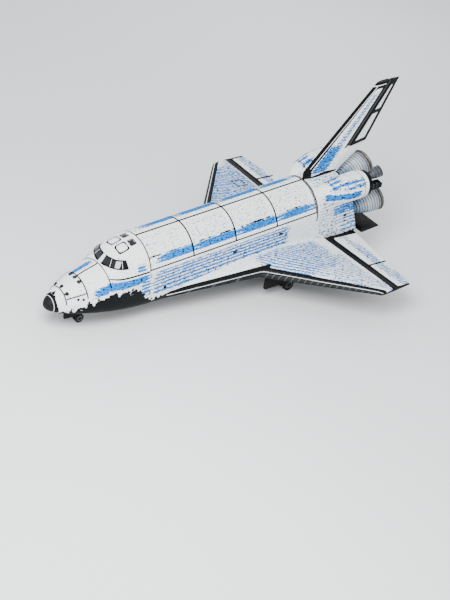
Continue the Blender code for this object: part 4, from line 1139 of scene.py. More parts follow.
    def window_piece(self, name: str, lift: float, edge: Piece, depth: float) -> Piece:
        """A piece of the skin round the windows.

        Args:
            name: The piece's name.
            lift: How far outside the skin it stands.
            edge: The shape that bounds it.
            depth: How far inside the skin it ends.

        Returns:
            The piece.
        """
        piece = keep(hull(name, 300, BAY_FRONT_STATION, -lift), edge)
        return cut(piece, hull("inner", 275, BODY_END, depth))

    def surround(self, side: int) -> Piece:
        """The black tiled surround of one side's panes, made again where the solver drops most of it."""
        fan, z = Vector(self.fan), self.windshield_z[0] + 0.085
        for left in range(self.surround_tries, 0, -1):
            band = self.window_piece("window_surround", -0.004, self.window_band(side, 0.003), 0.10)
            for turns in self.pane_turns:
                low, high = (radians(turn) for turn in turns)
                ends = ((0.35, low), (0.35, high), (self.fan_reach, high), (self.fan_reach, low))
                ring = [fan + Vector((-r * cos(a), side * r * sin(a), z)) for r, a in ends]
                cut(band, prism("pane_opening", ring, (0, 0, 0.455)))
            if left == 1 or len(band.data.polygons) >= self.surround_faces:
                return band
            log.info("window_surround is made again: %d faces", len(band.data.polygons))
            bpy.data.objects.remove(band, do_unlink=True)

    def windshields(self) -> None:
        """Three panes a side, set in a black tiled surround."""
        fan, (z0, _) = Vector(self.fan), self.windshield_z
        for name, side in SIDES:
            dress(self.surround(side), "root", BLACK_TILE, (), Mapping.HULL, angle=40)
            posts = []
            glass = self.window_piece(f"{name}_windshield_panes", -0.035, self.window_band(side, 0.01), 0.07)
            dress(glass, "root", WINDOW, [f"{name}_windshield"], angle=25)
            # The white posts between the panes are painted glints
            for turn in self.post_turns:
                a = radians(turn)
                aim = Vector((-cos(a), side * sin(a), 0))
                low = fan + Vector((0, 0, z0 + 0.07)) + aim * 0.3
                step = Vector((-aim.y, aim.x, 0)) * 0.016
                ring = [low + step, low - step, low - step + aim * 3, low + step + aim * 3]
                post = keep(prism("window_post", ring, (0, 0, 0.49)), hull("outer", 300, BAY_FRONT_STATION, -0.006))
                posts.append(cut(post, hull("inner", 275, BODY_END, 0.05)))
            dress(join(f"{name}_window_posts", posts), "root", GLINT)

    def centre_cover(self) -> None:
        """The white wedge between the two front panes."""
        edge, (x, _, _), reach = radians(6.5), self.fan, self.fan_reach
        ring = [(x, 0, 4.26), *[(x - reach * cos(a), reach * sin(a), 4.26) for a in (-edge, edge)]]
        cover = self.window_piece("window_centre_cover", 0.005, prism("wedge", ring, (0, 0, 0.65)), 0.03)
        dress(cover, "root", GLINT)

    def overhead_windows(self) -> None:
        """Two dark windows in the roof."""
        for name, side in SIDES:
            glass = keep(hull(f"{name}_roof_pane", 500, BAY_FRONT_STATION, 0.02), self.overhead_block(side, 0.004))
            cut(glass, hull("inner", 478, BODY_END, 0.055))
            dress(glass, "root", WINDOW, [f"{name}_overhead_window"], angle=25)

    def side_hatch(self) -> None:
        """The round crew hatch with its small window, on the port side."""
        (x, z), pane = self.hatch, self.pane_radius
        span = ((0, 0.435), (0.21, self.hatch_radius - 0.008), (0.7, self.hatch_radius - 0.008))
        door = keep(hull("hatch_door", 440, BAY_FRONT_STATION), turned("rim", span, (x, -2.39, z), (0, -1, 0), 64))
        cut(door, turned("sight", ((0, pane), (1.1, pane)), (x, -1.9, z), (0, -1, 0), 32))
        dress(door, "hatch", WHITE_TILE, ["side_hatch"], Mapping.HULL, hull_painted_shade, hull_dark)
        reach, hinge = Vector((self.hatch_hinge[1], 0, 0)), self.hinge()
        dress(rod("hatch_hinge_barrel", hinge - reach, hinge + reach, self.hatch_hinge[0]), "hatch", STEEL)
        skin = on_hull(x, 180).y
        profile = ((0.055, 0), (0.055, pane - 0.002), (0.02, pane - 0.002), (0.02, 0))
        dress(turned("hatch_sight_glass", profile, (x, skin, z), (0, 1, 0), 32), "hatch", WINDOW, ["hatch_pane"])
        rim = ((-0.006, pane), (-0.006, pane + 0.03), (0.01, pane + 0.03))
        rim += ((0.03, pane + 0.02), (0.03, pane - 0.004), (-0.006, pane - 0.004))
        dress(turned_ring("hatch_sight_rim", rim, (x, skin, z), (0, 1, 0), 32), "hatch", STEEL)

    def seams(self) -> None:
        """The black joints round the nose module, along the cabin and round the roof panels."""
        for i, (x, low) in enumerate(((1.45, 18), (3.15, 24), (5.20, 26))):
            line = [on_hull(x, turn) for turn in range(low, 181 - low, 4)]
            dress(strip(f"nose_joint_{i + 1}", line, 0.16, 0.010), "root", SEAL)
        centre = [on_hull(x, 90) for x in np.linspace(3.15, 5.2, 8)]
        dress(strip("nose_top_joint", centre, 0.16, 0.010, Vector((-0.3, 0, 1))), "root", SEAL)
        for name, side in SIDES:
            places = zip(np.linspace(1.5, 3.15, 7), np.linspace(38, 36, 7))
            line = [on_hull(x, 90 - side * (90 - turn)) for x, turn in places]
            dress(strip(f"{name}_nose_side_joint", line, 0.15, 0.010), "root", SEAL)
            line = []
            for x in np.linspace(5.2, BAY_FRONT, 14):
                section, height = hull_at(x), 3.55 + 0.03 * (x - 5.2)
                up = min(max((height - section.middle) / section.rise, -0.99), 0.99)
                half = section.half * (1 - abs(up) ** section.upper_power) ** (1 / section.upper_power)
                line.append(Vector((x, side * half, height)))
            dress(strip(f"{name}_cabin_joint", line, 0.16, 0.011, Vector((0, side, 0.25))), "root", SEAL)
            self.roof_ring(f"{name}_roof_panel_joint", side, (6.55, 7.62), (0.12, 1.06), 0.22, 0.11)
            self.roof_ring(f"{name}_roof_pane_surround", side, (7.79, 8.42), (0.21, 0.89), 0.12, 0.083)

    def roof_ring(self, name: str, side: int, xs: Pair, ys: Pair, corner: float, width: float) -> None:
        """The black outline of a rounded square on the cabin's roof.

        Args:
            name: The piece's name.
            side: -1 for port, 1 for starboard.
            xs: Its front and rear.
            ys: Its inner and outer edge, from the middle of the roof.
            corner: Its corners' radius.
            width: How wide the outline is.
        """
        rings = []
        for edge, lift in ((0, -0.01), (0, 0.009), (width, 0.009), (width, -0.01)):
            ring = []
            for x, y in rounded(xs, ys, corner, 6):
                x += copysign(edge, sum(xs) / 2 - x)
                y += copysign(edge, sum(ys) / 2 - y)
                ring.append(Vector((x, side * y, hull_top(x, y) + lift)))
            rings.append(ring)
        dress(loft(name, [*rings, rings[0]], capped=False), "root", SEAL, angle=60)


def coat_nodes(finish: Finish, *names: str) -> None:
    """Gives solids that stay as they are a finish of the scene's."""
    for name in names:
        node = frame["nodes"][name]
        node.data.materials.clear()
        node.data.materials.append(finish.material())
        log.info("%s: kept, %s", name, finish.name)


def arc_point(x: float, side: int, radius: float, angle: float) -> Vector:
    """A point about the bay's axis, angle degrees up from the horizontal, clear of the middle."""
    turn = radians(angle)
    return Vector((x, side * max(radius * cos(turn), RUNNING / 2), BAY_AXIS_Z + radius * sin(turn)))


def arched(name: str, side: int, radii: Pair, angles: Pair, places: Sequence[float]) -> Piece:
    """A curved plate about the bay's axis.

    Args:
        name: The piece's name.
        side: -1 for port, 1 for starboard.
        radii: Outer and inner radius.
        angles: First and last angle, in degrees up from the horizontal.
        places: Where its rings stand along the body.

    Returns:
        The plate.
    """
    steps = max(2, round((angles[1] - angles[0]) / 2.25))
    turns = [angles[0] + (angles[1] - angles[0]) * i / steps for i in range(steps + 1)]
    rings = []
    for x in places:
        ring = [arc_point(x, side, radii[0], turn) for turn in turns]
        rings.append(ring + [arc_point(x, side, radii[1], turn) for turn in turns[::-1]])
    return loft(name, rings)


def door_angle(y: Many, z: Many) -> Many:
    """Degrees up from the horizontal about the bay's axis."""
    return np.degrees(np.arctan2(z - BAY_AXIS_Z, np.abs(y)))


def door_outside(y: Many, z: Many) -> Many:
    """Whether a point lies in the outer half of a bay door."""
    return np.hypot(y, z - BAY_AXIS_Z) > BODY_RADIUS - DOOR_WALL / 2


def door_painted_shade(x: Many, y: Many, z: Many) -> Many:
    """The blue painted shade of the bay doors: one band low on each, stronger towards each segment's rear."""
    angle, share = door_angle(y, z), ((x - BAY_FRONT) / DOOR_SEGMENT) % 1
    strength = 0.70 + 0.28 * smooth_step(share, 0.05, 0.35)
    strength -= 0.26 * (1 - smooth_step(x, 9.4, 11.6)) + 0.30 * smooth_step(x, 25.2, 26.8)
    port = strength * between(angle, 20.5, 36, 1.2)
    starboard = (strength - 0.06) * between(angle, 56, 76, 2.0)
    faint = 0.46 * between(angle, 38, 84, 4.0) * (share < 0.9)
    return np.maximum(np.where(y < 0, port, starboard), faint) * door_outside(y, z)


def door_painted_shade_edge(x: Many, y: Many, z: Many) -> Many:
    """A dark line of painted shade along the upper edge of the port door's blue band."""
    share = ((x - BAY_FRONT) / DOOR_SEGMENT) % 1
    line = 0.05 - np.abs(np.radians(door_angle(y, z) - 36.6)) * BODY_RADIUS
    return np.where((y < 0) & door_outside(y, z), np.minimum(line, (share - 0.12) * 0.4), -9)


DOOR_SEGMENT = (BAY_REAR - BAY_FRONT) / 4
RADIATOR_X = (BAY_FRONT + 0.15, 18.0)
RADIATOR_ANGLES = (22.5, 78.75)


@dataclass
class MiddleBody:
    """The payload bay with its frames, doors and radiators, and the side walls with their vents."""

    joint: float = 0.15
    frames: int = 13
    trunnion: tuple[float, ...] = (18.0, 2.20, 0.15, 0.08, 0.02)
    vents: tuple[Pair, ...] = ((17.97, 2.61), (23.13, 2.80))
    vent_half: Pair = (0.24, 0.15)
    port: Pair = (10.54, 1.50)

    def build(self) -> None:
        """Makes the walls, the bay and both doors."""
        self.walls()
        self.liner()
        self.fittings()
        for name, side in SIDES:
            self.door(name, side)
            self.radiator(name, side)

    @property
    def sill(self) -> float:
        """The height of the walls' upper edge."""
        return BAY_AXIS_Z + (BODY_RADIUS - DOOR_WALL) * sin(DOOR_LOW_ANGLE)

    def vent_block(self, name: str, x: float, ys: Pair, zs: Pair, bevel: float = 0.0) -> Piece:
        """A block as long as a vent, between two distances from the middle and two heights."""
        half = self.vent_half[0]
        return block(name, (x - half, ys[0], zs[0]), (x + half, ys[1], zs[1]), bevel)

    def walls(self) -> None:
        """The side walls and floor."""
        body, high = hull("middle_body", BAY_FRONT_STATION, BAY_REAR_STATION), self.vent_half[1]
        bay = turned("bay_cutter", ((0, BAY_RADIUS), (22, BAY_RADIUS)), (7, 0, BAY_AXIS_Z), (1, 0, 0), 96)
        cutters = [block("top_cutter", (7, -4, self.sill), (29, 4, 8)), bay]
        x, z = self.port
        cutters.append(turned("port_cutter", ((0, 0.16), (0.3, 0.16)), (x, -2.45, z), (0, -1, 0), 32))
        for place, level in self.vents:
            for _, side in SIDES:
                ys = (side * 2.53, side * 2.7)
                cutters.append(self.vent_block("vent_cutter", place, ys, (level - high, level + high)))
        dress(cut(body, *cutters), "root", WHITE_TILE, ["mid_fuselage"], Mapping.HULL, hull_painted_shade, hull_dark)

    def liner(self) -> None:
        """The cloth that lines the bay, the frames behind it and the rails along the sills."""
        low = degrees(asin((self.sill - BAY_AXIS_Z) / BAY_RADIUS))
        turns = [radians(low - (180 + 2 * low) * i / 48) for i in range(49)]

        def ring(x: float, outer: float, inner: float) -> Ring:
            """A band along the bay's wall at one place."""
            line = [(outer, a) for a in turns] + [(inner, a) for a in turns[::-1]]
            return [Vector((x, r * cos(a), BAY_AXIS_Z + r * sin(a))) for r, a in line]

        first, last = BAY_FRONT + 0.02, BAY_REAR - 0.02
        rings = [ring(x, BAY_RADIUS - 0.002, BAY_RADIUS - 0.02) for x in np.linspace(first, last, 40)]
        dress(loft("bay_liner", rings), "root", LINER)
        ribs = []
        for x in np.linspace(first + 0.25, last - 0.25, self.frames):
            rings = [ring(x + shift, BAY_RADIUS - 0.01, BAY_RADIUS - 0.09) for shift in (-0.04, 0.04)]
            ribs.append(loft("bay_rib", rings))
        dress(join("bay_frames", ribs), "root", PRIMER)
        rails, ends = [], (self.sill - 0.16, self.sill - 0.002)
        for _, side in SIDES:
            rails.append(block("bay_rail", (first, side * 2.27, ends[0]), (last, side * 2.33, ends[1]), 0.01))
        dress(join("bay_sill_rails", rails), "root", STEEL)

    def fittings(self) -> None:
        """Trunnion pads on the sills, grilles in the vents and the round port's cover."""
        (x, y, length, width, height), high = self.trunnion, self.vent_half[1]
        pads, grilles = [], []
        for _, side in SIDES:
            low = (x - length, side * y - width, self.sill - 0.15)
            pads.append(block("trunnion_pad", low, (x + length, side * y + width, self.sill + height), 0.006))
            for place, level in self.vents:
                for step in range(5):
                    z0, ys = level - 0.145 + 0.06 * step, (side * 2.54, side * 2.592)
                    grilles.append(self.vent_block("vent_blade", place, ys, (z0, z0 + 0.02), 0.004))
                ys = (side * 2.535, side * 2.545)
                grilles.append(self.vent_block("vent_back", place, ys, (level - high, level + high)))
        dress(join("sill_trunnion_pads", pads), "root", STEEL)
        dress(join("side_vents", grilles), "root", BRAKE)
        x, z = self.port
        profile = ((0, 0.155), (0.12, 0.155), (0.135, 0.14), (0.135, 0.11), (0.11, 0.10), (0.11, 0))
        dress(turned("side_port_cover", profile, (x, -2.46, z), (0, -1, 0), 40), "root", SEAL)

    def door(self, name: str, side: int) -> None:
        """One payload bay door: a curved shell with seals round each segment and frames inside.

        Args:
            name: Its side's name.
            side: -1 for port, 1 for starboard.
        """
        first, last = BAY_FRONT + RUNNING, BAY_REAR - RUNNING
        low, inner = degrees(DOOR_LOW_ANGLE), BODY_RADIUS - DOOR_WALL
        shell = arched(f"{name}_door_shell", side, (BODY_RADIUS, inner), (low, 90), np.linspace(first, last, 58))
        body = f"{name}_bay_door_body"
        dress(shell, body, BLANKET, [f"{name}_bay_door"], Mapping.HULL, door_painted_shade, door_painted_shade_edge)
        proud, flush = ((BODY_RADIUS + lift, BODY_RADIUS - 0.006) for lift in (0.006, 0.0008))
        end, seals = self.joint * 0.7, []
        spans = [(first, first + end)]
        for i in range(1, 4):
            x = BAY_FRONT + DOOR_SEGMENT * i
            spans.append((x - self.joint / 2, x + self.joint / 2))
        for span in (*spans, (last - end, last)):
            seals.append(arched("door_joint", side, proud, (low + 3.5, 90), span))
            seals.append(arched("door_joint_foot", side, flush, (low, low + 3.5), span))
        seals.append(arched("centre_seal", side, proud, (88.0, 90), (first, last)))
        seals.append(arched("hinge_seal", side, flush, (low, low + 2.9), (first, last)))
        dress(join(f"{name}_door_joints", seals), body, SEAL)
        frames, radii = [], (inner + 0.01, inner - 0.05)
        for x in np.linspace(first + 0.3, last - 0.3, 26):
            if not RADIATOR_X[0] - 0.1 < x < RADIATOR_X[1] + 0.1:
                frames.append(arched("door_frame", side, radii, (low + 1, 88), (x - 0.025, x + 0.025)))
        dress(join(f"{name}_door_frames", frames), body, PRIMER)

    def radiator(self, name: str, side: int) -> None:
        """The silvered panels on the door's inside, with their coolant manifolds.

        Args:
            name: Its side's name.
            side: -1 for port, 1 for starboard.
        """
        outer = BODY_RADIUS - DOOR_WALL - 0.0003
        panels, edges = [], []
        (first, last), (low, high) = RADIATOR_X, RADIATOR_ANGLES
        middle = (first + last) / 2
        for x0, x1 in ((first, middle - 0.02), (middle + 0.02, last)):
            panels.append(arched("panel", side, (outer, outer - 0.042), RADIATOR_ANGLES, np.linspace(x0, x1, 10)))
            for angles in ((low, low + 1.2), (high - 1.2, high)):
                edges.append(arched("manifold", side, (outer - 0.04, outer - 0.05), angles, (x0 + 0.02, x1 - 0.02)))
        radii = (outer - 0.005, outer - 0.035)
        edges.append(arched("bridge", side, radii, RADIATOR_ANGLES, (middle - 0.025, middle + 0.025)))
        body = f"{name}_radiator_body"
        dress(join(f"{name}_radiator_panels", panels), body, SILVER_FILM, [f"{name}_radiator"])
        dress(join(f"{name}_radiator_manifolds", edges), body, STEEL)


# Main engines: name, gimbal point, cant up and toe-out in degrees
ENGINES = (
    ("upper", (30.71, 0.0, 4.27), 16.0, 0.0),
    ("port", (31.30, -1.346, 1.717), 10.0, -3.5),
    ("starboard", (31.30, 1.346, 1.717), 10.0, 3.5),
)
DOME_RADIUS, BELL_LENGTH, BELL_EXIT = 1.08, 4.24, 1.195


def engine_aim(cant: float, toe: float) -> Vector:
    """An engine's direction from its cant and toe-out in degrees."""
    cant, toe = radians(cant), radians(toe)
    return Vector((cos(cant) * cos(toe), cos(cant) * sin(toe), sin(cant)))


def bell_line(start: float, length: float, throat: float, mouth: float, steps: int) -> list[Pair]:
    """A bell's outer line.

    Args:
        start: Where its throat is, along its axis.
        length: Where its mouth is.
        throat: The throat's radius.
        mouth: The mouth's radius.
        steps: Steps between them.

    Returns:
        Distance and radius of each point.
    """
    shares = [i / steps for i in range(steps + 1)]
    bulge = [sin(share * pi / 2) ** 0.82 for share in shares]
    return [(start + (length - start) * s, throat + (mouth - throat) * b) for s, b in zip(shares, bulge)]


def hoops(name: str, line: Profile, section: Profile, frame_of: tuple[Place, Vector], steps: int) -> list[Piece]:
    """Rings round a bell.

    Args:
        name: The pieces' name.
        line: Where each ring stands: distance and radius.
        section: The ring's section, from there.
        frame_of: The bell's base and direction.
        steps: Points round each ring.

    Returns:
        The rings.
    """
    out = []
    for along, radius in line:
        profile = [(along + shift, radius + lift) for shift, lift in section]
        out.append(turned_ring(name, profile, *frame_of, steps))
    return out


def base_x(z: float) -> float:
    """The aft body's rear face at a height."""
    return 32.62 - 0.31 * z


def round_axis(obj: Piece, base: Place, axis: Vector) -> None:
    """Maps a turned piece's skin: the turn round its axis and metres along it.

    Args:
        obj: The piece.
        base: A point of the axis.
        axis: Its direction.
    """
    base, axis = Vector(base), Vector(axis).normalized()
    first = axis.orthogonal().normalized()
    second = axis.cross(first)

    def reach(x: Many, y: Many, z: Many, way: Vector) -> Many:
        """How far the points lie from the base in one direction."""
        return (x - base[0]) * way.x + (y - base[1]) * way.y + (z - base[2]) * way.z

    map_skin(obj, lambda *p: np.arctan2(reach(*p, second), reach(*p, first)), lambda *p: reach(*p, axis))


@dataclass
class AftBody:
    """The tail of the body: skin, heat shield with the engines' sockets, engines, flap and belly doors."""

    clearance: float = 0.05
    flap_hinge: Pair = (32.92, 0.30)
    flap_radius: float = 0.22
    flap_half_span: float = 3.05
    flap_rear: float = 34.98
    lugs: Triple = (-1.9, 0.0, 1.9)
    umbilical_x: Pair = (28.25, 29.52)
    umbilical_y: Pair = (1.20, 2.25)
    umbilical_wall: float = 0.07
    port: Pair = (30.77, 2.38)
    gimbal_ball: float = 0.24
    shield_face: float = 0.2403
    hoop: Profile = ((-0.03, -0.01), (-0.024, 0.02), (0, 0.022), (0.024, 0.02), (0.03, -0.01))

    def build(self) -> None:
        """Makes every piece of the tail except fin and pods."""
        self.shell()
        self.base_shield()
        for row in ENGINES:
            self.engine(*row)
        self.body_flap()
        self.umbilical_doors()

    def sockets(self) -> list[Piece]:
        """Cutters for the engines' round sockets."""
        profile, places = ball(DOME_RADIUS + self.clearance, 20), [row[1:] for row in ENGINES]
        return [turned("socket_cutter", profile, gimbal, engine_aim(*turn), 48) for gimbal, *turn in places]

    def slope_cutter(self, shift: float) -> Piece:
        """Everything aft of the sloped base, moved aft by shift."""
        outline = [(base_x(-1) + shift, -4.5, -1), (37, -4.5, -1), (37, -4.5, 7), (base_x(7) + shift, -4.5, 7)]
        return prism("base_cutter", outline, (0, 9, 0))

    def shell(self) -> None:
        """The tail's skin, with lugs, fittings and the ports in its sides."""
        body = hull("aft_body", BAY_REAR_STATION, BODY_END)
        (x0, x1), (y0, y1), (x, z) = self.umbilical_x, self.umbilical_y, self.port
        cutters = [self.slope_cutter(0), *self.sockets()]
        for _, side in SIDES:
            top = self.umbilical_wall + 0.02
            cutters.append(block("umbilical_cutter", (x0, side * y0, -0.5), (x1, side * y1, top)))
            hole = ((0, 0.17), (0.4, 0.17))
            cutters.append(turned("port_cutter", hole, (x, side * 2.44, z), (0, side, 0), 32))
        cut(body, *cutters)
        dress(body, "root", WHITE_TILE, ["aft_fuselage"], Mapping.HULL, hull_painted_shade, hull_dark)
        steel, dark = [], []
        for name, gimbal, cant, toe in ENGINES:
            gimbal, aim = Vector(gimbal), engine_aim(cant, toe)
            steel.append(rod("gimbal_post", gimbal - aim * (DOME_RADIUS + 0.15), gimbal - aim * 0.241, 0.13, 24))
            joint = turned(f"{name}_gimbal_ball", ball(self.gimbal_ball, 16), gimbal, aim, 32)
            dress(joint, f"{name}_gimbal", STEEL, [f"{name}_gimbal_block"])
        hinge_x, hinge_z = self.flap_hinge
        for y in self.lugs:
            low, high = (base_x(0) - 0.2, y - 0.06, hinge_z - 0.13), (hinge_x + 0.10, y + 0.06, hinge_z + 0.13)
            steel.append(block("lug", low, high, 0.01))
        for _, side in SIDES:
            y = 1.55 * side
            steel.append(block("tank_pad", (27.59, y - 0.16, -0.03), (27.91, y + 0.16, 0.2), 0.012))
            profile = ((0, 0.165), (0.10, 0.165), (0.148, 0.15), (0.148, 0.12), (0.11, 0.11), (0.11, 0))
            dark.append(turned("tail_port_cover", profile, (x, side * 2.45, z), (0, side, 0), 40))
        dress(join("tail_lugs_and_pads", steel), "root", STEEL)
        dress(join("tail_port_covers", dark), "root", SEAL)
        ring = [on_hull(BAY_REAR + 0.09, turn) for turn in range(-8, 189, 4)]
        dress(strip("tail_joint", ring, 0.16, 0.008), "root", SEAL)

    def base_shield(self) -> None:
        """The scorched tiles over the sloped rear face, with an opening for each socket."""
        plate = keep(hull("base_shield", BAY_REAR_STATION, BODY_END, -0.006, 0.4), self.slope_cutter(-0.03))
        cut(plate, self.slope_cutter(0.012), *self.sockets())
        dress(plate, "root", BASE_TILE, (), Mapping.BASE, angle=30)

    def engine(self, name: str, gimbal: Triple, cant: float, toe: float) -> None:
        """A main engine: heat shield dome, a bell of fine tubes with hoops and manifolds, and its lining.

        Args:
            name: The engine's name.
            gimbal: The point it swings about.
            cant: How far it tilts up, in degrees.
            toe: How far it turns out, in degrees.
        """
        aim, body, face = engine_aim(cant, toe), f"{name}_engine", self.shield_face
        turns = np.linspace(acos(face / DOME_RADIUS), radians(24), 14)
        dome = [(DOME_RADIUS * cos(a), DOME_RADIUS * sin(a)) for a in turns]
        start, throat = dome[-1]
        profile = [(face, 0), *dome, (start + 0.06, throat * 0.9), (start + 0.06, 0)]
        shield = turned(f"{name}_heat_shield", profile, gimbal, aim, 64)
        round_axis(shield, gimbal, aim)
        dress(shield, body, BASE_TILE, angle=40)
        outer = bell_line(start + 0.05, BELL_LENGTH, throat, BELL_EXIT, 26)
        inner = [(along, radius - 0.035) for along, radius in outer]
        wall = [(start + 0.05, 0), *outer, (BELL_LENGTH + 0.006, BELL_EXIT - 0.012), *inner[::-1]]
        wall += [(inner[0][0], 0.2), (inner[0][0] + 0.001, 0)]
        bell = turned(f"{name}_bell", wall, gimbal, aim, 96)
        round_axis(bell, gimbal, aim)
        dress(bell, body, BELL_TUBES, [f"{name}_main_engine"], angle=40)
        lining = [(along, radius - 0.002) for along, radius in inner]
        lining += [(along, radius - 0.01) for along, radius in inner[::-1]]
        dress(turned_ring(f"{name}_bell_lining", lining, gimbal, aim, 96), body, BELL_INSIDE, angle=40)
        places = [outer[2 * i + 2] for i in range(1, 12)]
        places[-1] = (places[-1][0] - 0.05, places[-1][1])
        dark = [place for i, place in enumerate(places) if i % 3 < 2]
        # Every third hoop is blue painted shade; the others are dark hoops
        for finish, chosen in ((DARK_HOOP, dark), (PAINTED_SHADE_HOOP, places[2::3])):
            rings = hoops("hoop", chosen, self.hoop, (gimbal, aim), 72)
            dress(join(f"{name}_{finish.name}s", rings), body, finish, angle=40)
        manifolds = []
        for along, thick in ((start + 0.22, 0.07), (BELL_LENGTH - 0.16, 0.05)):
            radius = float(np.interp(along, *zip(*outer))) + thick * 0.8
            manifolds.append(closed_tube("manifold", circle(Vector(gimbal) + aim * along, aim, radius, 48), thick))
        dress(join(f"{name}_bell_manifolds", manifolds), body, BELL)

    def body_flap(self) -> None:
        """The flap under the engines, black all round, slotted for its lugs."""
        (x, z), radius, rear = self.flap_hinge, self.flap_radius, self.flap_rear
        outline = [*hinge_arc(x, z, radius, 16), (rear, z - radius + 0.06), (rear, z - radius + 0.13)]
        rows = np.linspace(-self.flap_half_span, self.flap_half_span, 25)
        flap = loft("flap", [[Vector((px, y, pz)) for px, pz in outline] for y in rows])
        for y in self.lugs:
            cut(flap, block("slot", (x - 0.5, y - 0.0603, z - 0.5), (x + 0.16, y + 0.0603, z + 0.5)))
        dress(flap, "flap", BLACK_TILE, ["body_flap"], Mapping.PLAN)

    def umbilical_doors(self) -> None:
        """Square doors in the belly, black outside."""
        x0, x1 = self.umbilical_x[0] + RUNNING, self.umbilical_x[1] - RUNNING
        y0, y1 = self.umbilical_y[0] + 0.0003, self.umbilical_y[1] - RUNNING
        for name, side in SIDES:
            low, high = (x0, side * y0, 0.0), (x1, side * y1, self.umbilical_wall)
            door = block(f"{name}_belly_door", low, high, 0.006)
            dress(door, f"{name}_umbilical_door_body", BLACK_TILE, [f"{name}_umbilical_door"], Mapping.PLAN)


def hinge_arc(x: float, z: float, radius: float, steps: int) -> Profile:
    """The round front of a hinged surface, from its top to its underside."""
    turns = [pi / 2 + pi * i / steps for i in range(steps + 1)]
    return [(x + radius * cos(a), z + radius * sin(a)) for a in turns]


def closed_tube(name: str, path: Ring, radius: float) -> Piece:
    """A round tube bent to a closed ring.

    Args:
        name: The piece's name.
        path: The ring's points.
        radius: The tube's radius.

    Returns:
        The new object.
    """
    rings, count = [], len(path)
    middle = sum(path, Vector()) / count
    for i in range(count + 1):
        point = path[i % count]
        along = path[(i + 1) % count] - path[i - 1 if i else -1] if i < count else path[1] - path[-1]
        rings.append(circle(point, along, radius, 12, point - middle))
    return loft(name, rings, capped=False)


